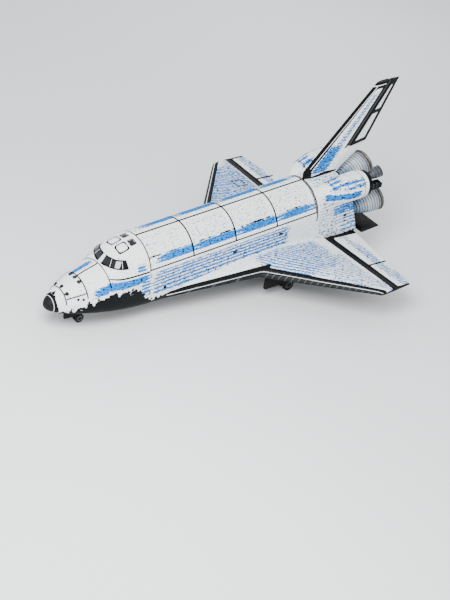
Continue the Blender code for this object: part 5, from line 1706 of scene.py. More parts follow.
@dataclass
class Pods:
    """The two manoeuvring pods beside the fin's foot, with their nozzles and thrusters."""

    # x, middle's y and z, half width, half height
    sections: tuple[tuple[float, ...], ...] = (
        (27.32, 1.60, 4.85, 0.22, 0.30),
        (27.85, 1.78, 4.95, 0.62, 0.68),
        (28.80, 1.98, 5.01, 0.98, 1.03),
        (30.20, 2.15, 5.06, 1.20, 1.25),
        (31.80, 2.20, 5.08, 1.25, 1.27),
        (32.75, 2.36, 5.12, 1.06, 1.18),
    )
    housing: tuple[tuple[float, ...], ...] = ((32.2, 2.74, 3.30, 4.70, 5.50), (33.96, 2.74, 3.42, 4.82, 5.38))
    nozzle: Triple = (32.62, 2.235, 5.48)
    nozzle_aim: Triple = (1.0, 0.114, 0.283)
    nozzle_exit: float = 0.545
    nozzle_length: float = 1.82
    ball_radius: float = 0.36
    cup_radius: float = 0.085
    hoop: Profile = ((-0.02, -0.01), (-0.015, 0.012), (0, 0.013), (0.015, 0.014), (0.02, -0.008))
    squareness: float = 2.2

    def build(self) -> None:
        """Makes both pods."""
        for name, side in SIDES:
            self.pod(name, side)
            self.thrusters(name, side)
            self.seals(name, side)
            self.bell(name, side)

    def ring(self, x: float, side: int) -> Ring:
        """The pod's outline at one place.

        Args:
            x: The place along the body.
            side: -1 for port, 1 for starboard.

        Returns:
            The outline's points.
        """
        table = np.array(self.sections)
        y, z, half, high = (float(np.interp(x, table[:, 0], table[:, i])) for i in range(1, 5))
        points = []
        for i in range(64):
            a = 2 * pi * i / 64
            across, up = (copysign(abs(v) ** (2 / self.squareness), v) for v in (cos(a), sin(a)))
            points.append(Vector((x, side * y + half * across, z + high * up)))
        return points

    def seat(self, side: int) -> tuple[Vector, Vector]:
        """The nozzle's middle and direction on one side."""
        (x, y, z), (along, out, up) = self.nozzle, self.nozzle_aim
        return Vector((x, side * y, z)), Vector((along, side * out, up)).normalized()

    def blue(self, x: Many, y: Many, z: Many) -> Many:
        """The blue painted shade of the pods: broad on the lower front and in broken rows above."""
        low = 0.92 * between(x, 27.9, 31.6, 0.4) * between(z, 4.6, 5.35, 0.15)
        high = 0.66 * between(x, 28.4, 32.2, 0.4) * between(z, 5.5, 6.3, 0.2)
        return np.maximum(low, high)

    def dark(self, x: Many, y: Many, z: Many) -> Many:
        """Black tiles round the pod's rear."""
        return x - 32.35

    def pod(self, name: str, side: int) -> None:
        """The pod's shell, with the nozzle's round seat cut in it.

        Args:
            name: Its side's name.
            side: -1 for port, 1 for starboard.
        """
        front, last = self.sections[0][0], self.sections[-1][0]
        places = [front + (last - front) * (i / 36) ** 1.4 for i in range(37)]
        shell = loft(f"{name}_pod_shell", [self.ring(x, side) for x in places])
        seat = turned("seat_cutter", ball(self.ball_radius + 0.012, 16), *self.seat(side), 48)
        cut(shell, hull("inner", 1200, BODY_END, 0.01, 2.0), seat)
        dress(shell, "root", BLANKET, [f"{name}_manoeuvring_pod"], Mapping.HULL, self.blue, self.dark)

    def thrusters(self, name: str, side: int) -> None:
        """The housing behind the pod and the thruster cups in it.

        Args:
            name: Its side's name.
            side: -1 for port, 1 for starboard.
        """
        rings = []
        for share in np.linspace(0, 1, 8):
            x, inner, outer, low, high = np.array(self.housing[0]) * (1 - share) + np.array(self.housing[1]) * share
            corners = ((inner, low), (outer, low + 0.06), (outer, high - 0.06), (inner, high))
            rings.append([Vector((x, side * y, z)) for y, z in corners])
        housing = loft(f"{name}_thruster_housing", rings)
        modify(housing, "BEVEL", width=0.03, segments=3, limit_method="ANGLE")
        cups, size = [], self.cup_radius
        for column in range(2):
            for row in range(3):
                point = Vector((32.95 + 0.42 * column, side * 3.352 + side * 0.012 * column, 4.88 + 0.24 * row))
                cups.append((point, Vector((0, side, 0))))
        for column, row in ((0, 0), (1, 0), (0, 1)):
            cups.append((Vector((33.96, side * (2.92 + 0.28 * column), 4.96 + 0.26 * row)), Vector((1, 0, 0))))
        bells = []
        line = ((-0.158, 0), (-0.158, size * 0.6), (-0.01, size - 0.002), (0.012, size - 0.002))
        line += ((0.012, size - 0.014), (-0.10, size * 0.5), (-0.13, 0))
        for point, away in cups:
            cut(housing, turned("cup_cutter", ((-0.16, size), (0.2, size)), point, away, 24))
            bells.append(turned("thruster_cup", line, point, away, 24))
        dress(housing, "root", BLACK_TILE, (), Mapping.SIDE)
        dress(join(f"{name}_pod_thrusters", bells), "root", BELL_INSIDE)

    def seals(self, name: str, side: int) -> None:
        """Two black joints round the pod.

        Args:
            name: Its side's name.
            side: -1 for port, 1 for starboard.
        """
        seals = []
        for x in (28.75, 31.9):
            line = [point for point in self.ring(x, side) if point.z > 4.2 and not self.inside(point)]
            start = max(range(len(line)), key=lambda i: (line[i] - line[i - 1]).length)
            rings = []
            for point in line[start:] + line[:start]:
                away = Vector((0, point.y - side * 2.1, point.z - 5.05)).normalized()
                section = ((-0.03, -0.01), (-0.02, 0.006), (0.02, 0.006), (0.03, -0.01))
                rings.append([point + away * lift + Vector((shift, 0, 0)) for shift, lift in section])
            seals.append(loft("pod_seal", rings))
        dress(join(f"{name}_pod_seals", seals), "root", SEAL)

    def inside(self, point: Vector) -> bool:
        """Whether a point lies inside the body."""
        section = hull_at(point.x)
        power = section.upper_power if point.z > section.middle else section.lower_power
        return (abs(point.y) / section.half) ** power + (abs(point.z - section.middle) / section.rise) ** power < 1

    def bell(self, name: str, side: int) -> None:
        """The pod's nozzle: a round seat and a smooth dark bell.

        Args:
            name: Its side's name.
            side: -1 for port, 1 for starboard.
        """
        base, aim = self.seat(side)
        outer = bell_line(0.30, self.nozzle_length, 0.19, self.nozzle_exit, 20)
        inner = [(along, radius - 0.02) for along, radius in outer]
        lip = (self.nozzle_length + 0.004, self.nozzle_exit - 0.01)
        profile = [*ball(self.ball_radius, 20, 13), *outer, lip, *inner[::-1], (0.33, 0.1), (0.331, 0)]
        bell = turned(f"{name}_pod_bell", profile, base, aim, 64)
        round_axis(bell, base, aim)
        dress(bell, "root", BELL_INSIDE, [f"{name}_pod_nozzle"], angle=40)
        places = [*outer[4:20:4], (outer[20][0] - 0.03, outer[20][1])]
        rings = hoops("hoop", places, self.hoop, (base, aim), 48)
        dress(join(f"{name}_pod_bell_hoops", rings), "root", BELL)


# y, leading edge x, greatest thickness, its place along the chord, nose power, edge depth
WING_TABLE = np.array(
    (
        (2.35, 9.30, 1.58, 0.66, 0.85, 1.10),
        (2.60, 9.30, 1.58, 0.66, 0.85, 1.10),
        (3.10, 12.35, 1.55, 0.60, 0.80, 1.05),
        (3.70, 15.90, 1.50, 0.52, 0.70, 0.95),
        (4.29, 19.53, 1.42, 0.42, 0.55, 0.70),
        (7.94, 23.18, 0.86, 0.42, 0.50, 0.55),
        (11.60, 26.84, 0.40, 0.42, 0.50, 0.42),
        (11.896, 27.20, 0.22, 0.42, 0.50, 0.38),
    )
)
LEADING, DEPTH, PEAK, POWER, EDGE = 1, 2, 3, 4, 5
WING_FIRST, WING_ROOT, WING_TIP = 2.35, 2.60, 11.896
HINGE_X, ROOT_RADIUS, TIP_RADIUS = 29.24, 0.27, 0.095
DIHEDRAL = tan(radians(3.5))
HINGE_SLOPE = DIHEDRAL - (ROOT_RADIUS - TIP_RADIUS) / (WING_TIP - WING_ROOT)


def wing_row(y: Many, column: int) -> Many:
    """One column of the wing's table at a place along the span, its corners a little rounded."""
    places, values = WING_TABLE[:, 0], WING_TABLE[:, column]
    spread = (-0.10, -0.05, 0.0, 0.05, 0.10)
    return sum(np.interp(np.clip(y + step, WING_FIRST, WING_TIP), places, values) for step in spread) / 5

def hinge_radius(y: Many) -> Many:
    """Half the elevon's depth at its hinge."""
    return ROOT_RADIUS + (TIP_RADIUS - ROOT_RADIUS) * (np.maximum(y, WING_ROOT) - WING_ROOT) / (WING_TIP - WING_ROOT)


def wing_floor(y: Many) -> Many:
    """The height of the wing's flat underside."""
    return (np.maximum(y, WING_ROOT) - WING_ROOT) * DIHEDRAL


def hinge_z(y: Many) -> Many:
    """The height of the elevons' hinge."""
    return wing_floor(y) + hinge_radius(y)


def rear_cut(y: Many) -> Many:
    """Where the fixed wing stops ahead of the elevon."""
    return HINGE_X - hinge_radius(y) - 0.02


def trailing_x(y: Many) -> Many:
    """The trailing edge."""
    return 32.73 - 0.1773 * y


def wing_surface(x: Many, y: Many) -> tuple[Many, Many]:
    """The wing's surfaces at a place.

    Args:
        x: The place along the body.
        y: The place along the span, counted outboard.

    Returns:
        The heights of the lower and the upper surface.
    """
    leading, depth, peak, power = (wing_row(y, column) for column in (LEADING, DEPTH, PEAK, POWER))
    rear = rear_cut(y)
    thickest = leading + peak * (rear - leading)
    ahead = np.clip((x - leading) / (thickest - leading), 0, 1)
    behind = np.clip((x - thickest) / (rear - thickest), 0, 1)
    front = depth * (1 - (1 - ahead) ** 2) ** power
    back = depth + (2 * hinge_radius(y) - depth) * behind**1.6
    thickness = np.where(x < thickest, front, back)
    lower = wing_floor(y) + np.where(x < thickest, 0.3 * (depth - thickness), 0)
    return lower, lower + thickness


def wing_top(x: float, y: float, side: int) -> Vector:
    """A point of the wing's upper surface, y counted outboard."""
    return Vector((x, side * y, float(wing_surface(x, y)[1])))


def wing_section(y: float, side: int, places: Sequence[float], lift: float = 0.0) -> Ring:
    """A section of the wing.

    Args:
        y: Where it stands, counted outboard.
        side: -1 for port, 1 for starboard.
        places: Its points along the chord.
        lift: How far outside the surface it runs.

    Returns:
        The section, upper side first.
    """
    upper, lower = [], []
    for x in places:
        low, high = (float(value) for value in wing_surface(x, y))
        upper.append(Vector((x, side * y, high + lift)))
        lower.append(Vector((x, side * y, low - lift)))
    if places[0] <= wing_row(y, LEADING) + 1e-6:
        upper[0].x -= lift
        lower = lower[1:]
    return upper + lower[::-1]


def wing_dark(x: Many, y: Many, z: Many) -> Many:
    """How far inside the black tiles: the underside, the front, and the band ahead of the elevons."""
    y = np.abs(y)
    low, high = wing_surface(x, y)
    under = (low + 0.12 * (high - low) - z) * 3
    band = np.minimum(x - 28.50, (z - low) * 9)
    slope = (wing_row(y + 0.02, LEADING) - wing_row(y - 0.02, LEADING)) / 0.04
    front = wing_row(y, EDGE) + 0.22 * np.sqrt(1 + slope**2) - (x - wing_row(y, LEADING))
    return np.maximum.reduce([under, band, front])


def wing_painted_shade(x: Many, y: Many, z: Many) -> Many:
    """The wings' blue painted shade: slanting broken rows over the tops."""
    side, y = y, np.abs(y)
    leading = wing_row(y, LEADING)
    front = 0.58 * between(x - leading, 0.9, 3.0, 0.4) * smooth_step(y, 4.6, 5.6)
    inner = 0.66 * between(y, 2.6, 7.4, 0.6) * between(x, 19.6, 27.6, 1.0)
    outer = 0.58 * between(y, 5.2, 11.2, 0.6) * between(x, 24.0, 28.4, 0.6)
    far = np.where(side > 0, 0.70 * between(y, 4.0, 11.0, 0.5) * between(x, 22.0, 28.6, 0.5), 0)
    return np.maximum.reduce([front, inner, outer, far, 0.26 + 0 * x])


@dataclass
class Wings:
    """Both wings with their carbon leading edges and elevons."""

    ribs: tuple[Pair, ...] = ((WING_FIRST, 2.94), (7.92, 7.96), (11.76, 11.876))
    elevons: tuple[tuple[str, float, float], ...] = (("inboard", 2.96, 7.90), ("outboard", 7.98, 11.74))
    panels: int = 22
    square: tuple[Pair, ...] = ((26.40, 7.18), (27.40, 7.18), (27.40, 8.18), (26.40, 8.18))
    fit: float = 0.0003

    def build(self) -> None:
        """Makes both sides."""
        for name, side in SIDES:
            self.wing(name, side)
            self.wing_ribs(name, side)
            if side > 0:
                self.plan_square(name, side)
            self.edge(name, side)
            for row in self.elevons:
                self.elevon(name, side, *row)

    def spans(self) -> list[float]:
        """Where sections stand along the span, closer where the plan bends."""
        out = [WING_FIRST, *np.linspace(2.60, 4.6, 21), *np.linspace(4.8, 11.4, 34), 11.5, 11.6, 11.7, 11.8, WING_TIP]
        return [float(value) for value in out]

    def wing(self, name: str, side: int) -> None:
        """The wing's box, with the wheel well.

        Args:
            name: Its side's name.
            side: -1 for port, 1 for starboard.
        """
        rings = []
        for y in self.spans():
            front, rear = float(wing_row(y, LEADING) + wing_row(y, EDGE)), float(rear_cut(y))
            places = [*np.linspace(front, rear - 0.9, 45)[:-1], *np.linspace(rear - 0.9, rear, 11)]
            rings.append(wing_section(y, side, places))
        wing = loft(f"{name}_wing_box", rings)
        body = hull("beside_body", BAY_FRONT_STATION, BODY_END, -self.fit, 0.3)
        (x0, x1), (y0, y1) = MAIN_WELL_X, MAIN_WELL_Y
        cut(wing, body, block("well_cutter", (x0, side * y0, -1), (x1, side * y1, MAIN_WELL_TOP)))
        dress(wing, "root", WING_TILE, [f"{name}_wing"], Mapping.PLAN, wing_painted_shade, wing_dark)

    def wing_ribs(self, name: str, side: int) -> None:
        """The black ribs beside the elevons.

        Args:
            name: Its side's name.
            side: -1 for port, 1 for starboard.
        """
        ribs = []
        for ends in self.ribs:
            rings = []
            for y in ends:
                middle, radius, rear = float(hinge_z(y)), float(hinge_radius(y)) * 0.9, float(trailing_x(y))
                front = float(rear_cut(y)) - 0.1
                points = ((front, -1), (HINGE_X, -1), (rear, -0.55), (rear, -0.25), (HINGE_X, 1), (front, 1))
                rings.append(slanted([(x, middle + share * radius) for x, share in points], y, middle, side))
            ribs.append(loft("wing_rib", rings))
        cut(ribs[0], hull("beside_body", BAY_REAR_STATION, BODY_END, -self.fit, 0.3))
        dress(join(f"{name}_wing_ribs", ribs), "root", BLACK_TILE, (), Mapping.SIDE)

    def plan_square(self, name: str, side: int) -> None:
        """A plain dark square outline on the wing's top."""
        bars = []
        for (ax, ay), (bx, by) in zip(self.square, (*self.square[1:], self.square[0])):
            line = [wing_top(ax + (bx - ax) * t, ay + (by - ay) * t, side) for t in np.linspace(0, 1, 9)]
            bars.append(strip("square_side", line, 0.13, 0.008, Vector((0, 0, 1))))
        dress(join(f"{name}_wing_square", bars), "root", SEAL)

    def edge(self, name: str, side: int) -> None:
        """The carbon leading edge with its panel seals and the white line of painted highlight behind it.

        Args:
            name: Its side's name.
            side: -1 for port, 1 for starboard.
        """
        def places(y: float, depth: float = 1.0) -> list[float]:
            """Points along the edge's chord, depth of the way back."""
            leading, reach = float(wing_row(y, LEADING)), float(wing_row(y, EDGE))
            return [leading + (reach - self.fit) * depth * (i / 14) ** 2 for i in range(15)]

        shell = loft(f"{name}_edge_shell", [wing_section(y, side, places(y)) for y in self.spans()])
        cut(shell, hull("beside_body", BAY_FRONT_STATION, BODY_END, -self.fit, 0.3))
        dress(shell, "root", CARBON, [f"{name}_leading_edge"], angle=40)
        seals = []
        for y in np.linspace(3.15, 11.5, self.panels):
            pair = [wing_section(end, side, places(end, 0.985), 0.004) for end in (y - 0.02, y + 0.02)]
            seals.append(loft("edge_seal", pair))
        dress(join(f"{name}_edge_seals", seals), "root", EDGE_SEAL, angle=40)
        spans = np.linspace(2.72, WING_TIP - 0.02, 60)
        line = [wing_top(float(wing_row(y, LEADING) + 0.62 * wing_row(y, EDGE)), y, side) for y in spans]
        dress(strip(f"{name}_edge_line", line, 0.06, 0.012, Vector((0, 0, 1))), "root", PAINTED_HIGHLIGHT)

    def elevon(self, name: str, side: int, place: str, inner: float, outer: float) -> None:
        """One elevon, black below and along its hinge.

        Args:
            name: Its side's name.
            side: -1 for port, 1 for starboard.
            place: Whether it is the inboard or the outboard one.
            inner: Where it starts, counted outboard.
            outer: Where it ends.
        """
        def ring(y: float) -> Ring:
            """Its outline at one place of the span."""
            radius, middle, rear = float(hinge_radius(y)), float(hinge_z(y)), float(trailing_x(y))
            points, tail = hinge_arc(HINGE_X, middle, radius, 12), middle - radius * 0.4
            for flip, shares in ((-1, (0.1, 0.4, 0.7, 1)), (1, (1, 0.7, 0.4, 0.1))):
                root, tip = middle + flip * radius, tail + flip * 0.02
                points += [(HINGE_X + (rear - HINGE_X) * t, root + (tip - root) * t) for t in shares]
            return slanted(points, y, middle, side)

        def dark(x: Many, y: Many, z: Many) -> Many:
            """Black below, along the hinge and at both ends."""
            y = np.abs(y)
            middle, radius, share = hinge_z(y), hinge_radius(y), (x - HINGE_X) / (trailing_x(y) - HINGE_X)
            centre = middle - 0.4 * radius * np.clip(share, 0, 1)
            under = (centre - 0.2 * radius * (1 - np.clip(share, 0, 1)) - z) * 3
            ends = 0.07 - np.minimum(np.abs(y - inner), np.abs(y - outer))
            return np.maximum.reduce([under, 29.36 - x, ends])

        rows = [inner, inner + 0.12, *np.linspace(inner + 0.3, outer - 0.3, 24), outer - 0.12, outer]
        flap = loft(f"{name}_{place}_elevon_shell", [ring(float(y)) for y in rows])
        # The band of blue on the elevons is painted shade
        body, blue = f"{name}_{place}_elevon_body", lambda x, y, z: 0.66 * between(x, 29.7, 31.2, 0.3)
        dress(flap, body, WING_TILE, [f"{name}_{place}_elevon"], Mapping.PLAN, blue, dark)


def slanted(points: Profile, y: float, middle: float, side: int) -> Ring:
    """An outline that stands square to the elevons' hinge.

    Args:
        points: Its places along the body and heights.
        y: Where it meets the hinge, counted outboard.
        middle: The hinge's height there.
        side: -1 for port, 1 for starboard.

    Returns:
        The ring.
    """
    return [Vector((x, side * (y - (z - middle) * HINGE_SLOPE), z)) for x, z in points]


FIN_FOOT_X, FIN_FOOT_Z, FIN_TIP_Z, RUDDER_FOOT_Z = 27.24, 5.715, 13.74, 7.90


def fin_lines(z: Many) -> tuple[Many, Many, Many]:
    """Swept leading edge, trailing edge and half thickness of the fin at a height."""
    share = (z - FIN_FOOT_Z) / (FIN_TIP_Z - FIN_FOOT_Z)
    return 26.46 + 8.02 * share, 33.29 + 3.95 * share, 0.31 - 0.15 * share


def rudder_hinge(z: Many) -> Many:
    """The rudder's hinge line."""
    leading, trailing, _ = fin_lines(z)
    return leading + 0.60 * (trailing - leading)


def shaft_radius(z: float) -> float:
    """The rudder shaft's radius."""
    return fin_lines(z)[2] * 0.88


def fin_thickness(share: float) -> float:
    """The fin's thickness as a share of its greatest, along its chord."""
    if share < 0.32:
        return max(0.15, (1 - (1 - share / 0.32) ** 2) ** 0.62)
    return float(np.interp(share, (0.32, 0.60, 1.0), (1.0, 0.92, 0.10)))


@dataclass
class Fin:
    """The tail fin with its rudder, which splits into two speed brakes."""

    gap: float = 0.0003
    foot: tuple[Pair, ...] = ((31.0, 5.5), (40, 5.5), (40, 7.62), (34.2, 7.62), (31.0, 5.778))

    def build(self) -> None:
        """Makes fin, shaft and both brakes."""
        self.fin()
        self.lines()
        self.shaft()
        for name, side in SIDES:
            self.brake(name, side)

    @property
    def lean(self) -> Vector:
        """The direction of the rudder's hinge."""
        run = rudder_hinge(FIN_TIP_Z) - rudder_hinge(RUDDER_FOOT_Z)
        return Vector((run, 0, FIN_TIP_Z - RUDDER_FOOT_Z)).normalized()

    def section(self, z: float) -> Ring:
        """The fin's outline at a height, port side first."""
        leading, trailing, half = fin_lines(z)
        front, port = max(leading, FIN_FOOT_X), []
        for i in range(49):
            share = (i / 48) ** 1.3
            port.append(Vector((front + share * (trailing - front), -half * fin_thickness(share), z)))
        return port + [Vector((p.x, -p.y, p.z)) for p in port[::-1]]

    @staticmethod
    def blue(x: Many, y: Many, z: Many) -> Many:
        """The blue painted shade that runs up the fin's middle from its lower front."""
        leading, trailing, _ = fin_lines(z)
        chord = (x - leading) / (trailing - leading)
        low = 0.84 * between(z, 5.9, 8.6, 0.5) * between(chord, 0.12, 0.44, 0.06)
        high = 0.68 * between(z, 8.2, 12.8, 0.5) * between(chord, 0.24, 0.42, 0.05)
        return np.maximum(low, high)

    @staticmethod
    def dark(x: Many, y: Many, z: Many) -> Many:
        """Black along the fin's top and front, ahead of the rudder, and at its foot."""
        share = (z - FIN_FOOT_Z) / (FIN_TIP_Z - FIN_FOOT_Z)
        top = z - (FIN_TIP_Z - 0.62)
        rear = np.minimum(0.13 - np.abs(x - rudder_hinge(z) + 0.36), z - 7.86)
        foot = np.minimum(6.10 - z - 0.12 * np.abs(x - 29.5), 31.0 - x)
        front = 0.82 - (x - np.maximum(fin_lines(z)[0], FIN_FOOT_X)) - 0.28 * share
        return np.maximum.reduce([top, rear, foot, front])

    def fin(self) -> None:
        """The fixed fin, cut back ahead of the rudder."""
        heights = [5.62, *np.linspace(5.9, FIN_TIP_Z - 0.05, 46), FIN_TIP_Z]
        body = loft("fin_shell", [self.section(float(z)) for z in heights])
        lean = (rudder_hinge(FIN_TIP_Z) - rudder_hinge(RUDDER_FOOT_Z)) / (FIN_TIP_Z - RUDDER_FOOT_Z)
        slant = cos(atan(lean))
        low, high = RUDDER_FOOT_Z - 0.03, FIN_TIP_Z + 1
        back = [rudder_hinge(z) - (shaft_radius(z) + 0.03) / slant for z in (low, high)]
        cutters = []
        for outline in (((back[0], low), (40, low), (40, high), (back[1], high)), self.foot):
            cutters.append(prism("fin_cutter", [(x, -1, z) for x, z in outline], (0, 2, 0)))
        cut(body, *cutters, hull("beneath", BAY_REAR_STATION, BODY_END, -self.gap, 0.5))
        dress(body, "root", FIN_BLANKET, ["tail_fin"], Mapping.SIDE, self.blue, self.dark)

    def lines(self) -> None:
        """The white lines of painted highlight behind the fin's leading edge and under its top."""
        for name, side in SIDES:
            line = []
            for z in np.linspace(FIN_FOOT_Z + 1.0, FIN_TIP_Z - 0.25, 40):
                leading, trailing, half = fin_lines(float(z))
                share = 0.42 / (trailing - leading)
                line.append(Vector((leading + 0.42, side * half * fin_thickness(share), float(z))))
            dress(strip(f"{name}_fin_edge_line", line, 0.06, 0.012, Vector((-0.3, side, 0))), "root", PAINTED_HIGHLIGHT)
        cap = []
        for z in (FIN_TIP_Z - 0.34, FIN_TIP_Z - 0.26):
            ring = self.section(z)
            last = next(i for i, p in enumerate(ring) if p.x > rudder_hinge(z) - 0.35)
            ring = ring[:last] + ring[-last:]
            cap.append([Vector((p.x - 0.006, p.y + copysign(0.006, p.y), p.z)) for p in ring])
        dress(loft("fin_cap_line", cap), "root", PAINTED_HIGHLIGHT)

    def shaft(self) -> None:
        """The steel shaft that the rudder's halves turn on."""
        start, end = RUDDER_FOOT_Z - 0.03, FIN_TIP_Z - 0.06
        radius = shaft_radius(RUDDER_FOOT_Z)
        foot = start + self.gap + radius * self.lean.x
        pivot, top = Vector((rudder_hinge(foot), 0, foot)), Vector((rudder_hinge(end), 0, end))
        length, tip = (top - pivot).length, shaft_radius(end)
        profile = ((0, radius - 0.01), (0.01, radius), (length - 0.01, tip), (length, tip - 0.01))
        dress(turned("rudder_shaft_tube", profile, pivot, top - pivot, 48), "rudder", BRAKE, ["rudder_shaft"])

    def brake(self, name: str, side: int) -> None:
        """One half of the rudder: two white panels framed in black.

        Args:
            name: Its side's name.
            side: -1 for port, 1 for starboard.
        """
        low, high = RUDDER_FOOT_Z + 0.02, FIN_TIP_Z - 0.06
        rings = []
        for z in map(float, np.linspace(low, high, 60)):
            _, trailing, half = fin_lines(z)
            front = rudder_hinge(z) + (shaft_radius(z) + self.gap) / self.lean.z
            line = [(t, half * (0.92 - 0.80 * t)) for t in np.linspace(0, 1, 25)]
            line += [(t, RUNNING / 2) for t in np.linspace(1, 0, 6)]
            rings.append([Vector((front + (trailing - front) * t, side * y, z)) for t, y in line])

        def dark(x: Many, y: Many, z: Many) -> Many:
            """Black round both panels."""
            front, rear, middle = rudder_hinge(z) + 0.25, fin_lines(z)[1], (low + high) / 2
            inside = np.minimum.reduce([x - front - 0.28, rear - 0.48 - x, z - low - 0.38, high - 0.55 - z])
            return -np.minimum(inside, np.abs(z - middle) - 0.19)

        panel, body = loft(f"{name}_brake_panel", rings), f"{name}_speed_brake_body"
        dress(panel, body, FIN_BLANKET, [f"{name}_speed_brake"], Mapping.SIDE, None, dark)


@dataclass
class LandingGear:
    """Legs, wheels and doors of the three landing gears."""

    main_tyre: Pair = (0.565, 0.205)
    main_axle: Triple = (23.77, 3.45, -2.056)
    main_track: float = 0.39
    nose_x: float = 3.63
    nose_tyre: Pair = (0.405, 0.11)
    nose_track: float = 0.19
    door_wall: float = 0.06
    gap: float = 0.0003

    def build(self) -> None:
        """Makes all three gears."""
        self.nose_gear()
        for name, side in SIDES:
            self.main_gear(name, side)

    def tyre(self, name: str, centre: Vector, size: Pair) -> Piece:
        """A round tyre with four grooves in its tread.

        Args:
            name: What it is called.
            centre: Its middle.
            size: Its radius and half its width.

        Returns:
            The tyre.
        """
        radius, half = size
        shape = (
            (-0.80, 0.54), (-0.93, 0.60), (-1.0, 0.70), (-1.0, 0.80), (-0.94, 0.89), (-0.82, 0.95), (-0.66, 0.983),
        )
        line = [(half * across, radius * share) for across, share in shape]
        for place in (-0.45, -0.15, 0.15, 0.45):
            width, edge = half * 0.03, radius * (0.999 if abs(place) < 0.3 else 0.995)
            middle = half * place
            line += [(middle - width, edge), (middle - width * 0.7, edge - 0.009)]
            line += [(middle + width * 0.7, edge - 0.009), (middle + width, edge)]
        line += [(half * -across, radius * share) for across, share in shape[::-1]]
        inner = radius * 0.54
        line = [(half * -0.78, inner - 0.004), *line, (half * 0.78, inner - 0.004)]
        return turned(name, line, centre, (0, 1, 0), 72)

    def hub(self, centre: Vector, size: Pair, outward: int) -> list[Piece]:
        """A forged wheel: a rim, a dished web with holes, a cap and bolts.

        Args:
            centre: Its middle.
            size: Its tyre's radius and half width.
            outward: Which way it faces, -1 for port.

        Returns:
            Its pieces.
        """
        radius, half = size
        rim, aim = radius * 0.54, Vector((0, outward, 0))
        line = (
            (-half * 0.80, 0), (-half * 0.80, rim - 0.03), (-half * 0.80, rim), (-half * 0.72, rim - 0.008),
            (half * 0.70, rim - 0.008), (half * 0.80, rim + 0.004), (half * 0.80, rim - 0.022),
            (half * 0.55, rim - 0.035), (half * 0.30, rim * 0.72), (half * 0.34, rim * 0.50),
            (half * 0.62, rim * 0.40), (half * 0.66, rim * 0.16), (half * 0.70, 0),
        )
        wheel, holes, bolts = turned("wheel", line, centre, aim, 72), [], []
        for i in range(10):
            a = 2 * pi * i / 10
            spot = Vector((cos(a), 0, sin(a))) * rim * 0.61
            holes.append(turned("hole", ((0.0, rim * 0.085), (half, rim * 0.085)), centre + spot, aim, 16))
        cut(wheel, join("holes", holes))
        for i in range(12):
            a = 2 * pi * (i + 0.5) / 12
            spot = centre + Vector((cos(a), 0, sin(a))) * rim * 0.80 + aim * half * 0.42
            bolts.append(turned("bolt", ((-0.02, 0.011), (0.018, 0.011), (0.022, 0.008)), spot, aim, 6))
        cap = ((half * 0.6, rim * 0.20), (half * 0.72, rim * 0.19), (half * 0.76, rim * 0.12), (half * 0.76, 0))
        return [wheel, *bolts, turned("cap", cap, centre, aim, 32)]

    def wheels(self, name: str, centre: Vector, size: Pair, track: float) -> None:
        """Twin wheels on one axle.

        Args:
            name: The gear's name.
            centre: The axle's middle.
            size: A tyre's radius and half width.
            track: How far a tyre's middle stands from the axle's.
        """
        body, parts = f"{name}_wheels", [pin("axle", centre, track + size[1] * 0.75, 0.06, 40)]
        for side, where in ((-1, "left"), (1, "right")):
            middle = centre + Vector((0, side * track, 0))
            parts += self.hub(middle, size, side)
            dress(self.tyre(f"{name}_{where}_rubber", middle, size), body, RUBBER, [f"{name}_{where}_tyre"], angle=35)
        dress(join(f"{name}_wheels_forged", parts), body, HUB_PAINT, [f"{name}_wheel_hubs"], angle=35)

    @staticmethod
    def links(top: Vector, middle: Vector, low: Vector, width: float) -> list[Piece]:
        """Torque links: two tapered arms that meet at a pin.

        Args:
            top: The upper arm's pin.
            middle: The knee.
            low: The lower arm's pin.
            width: Half the arms' spread at their pins.

        Returns:
            Their pieces.
        """
        parts = []
        for start, end in ((top, middle), (low, middle)):
            for flip in (-width, width):
                near = end + Vector((0, flip * 0.35, 0))
                parts.append(rod("link_arm", start + Vector((0, flip, 0)), near, 0.022, 12))
            parts.append(pin("link_web", start.lerp(end, 0.35), width * 0.7, 0.014, 10))
            parts.append(pin("link_pin", start, width * 1.3, 0.028, 16))
        return [*parts, pin("link_knee", middle, width * 0.6, 0.03, 16)]

    @staticmethod
    def hoses(name: str, paths: Sequence[Sequence[Triple]], radius: float) -> None:
        """Rubber hoses along a leg.

        Args:
            name: What their piece is called.
            paths: The line of each.
            radius: Their radius.
        """
        dress(join(name, [pipe("hose", path, radius) for path in paths]), "root", HOSE)

    def nose_axle(self) -> Vector:
        """The nose axle, low enough for its tyres to reach the ground with the main ones."""
        rise = self.main_axle[0] * sin(STANCE_ANGLE) + self.main_axle[2] * cos(STANCE_ANGLE)
        drop = self.nose_tyre[0] - self.main_tyre[0] + rise - self.nose_x * sin(STANCE_ANGLE)
        return Vector((self.nose_x, 0, drop / cos(STANCE_ANGLE)))

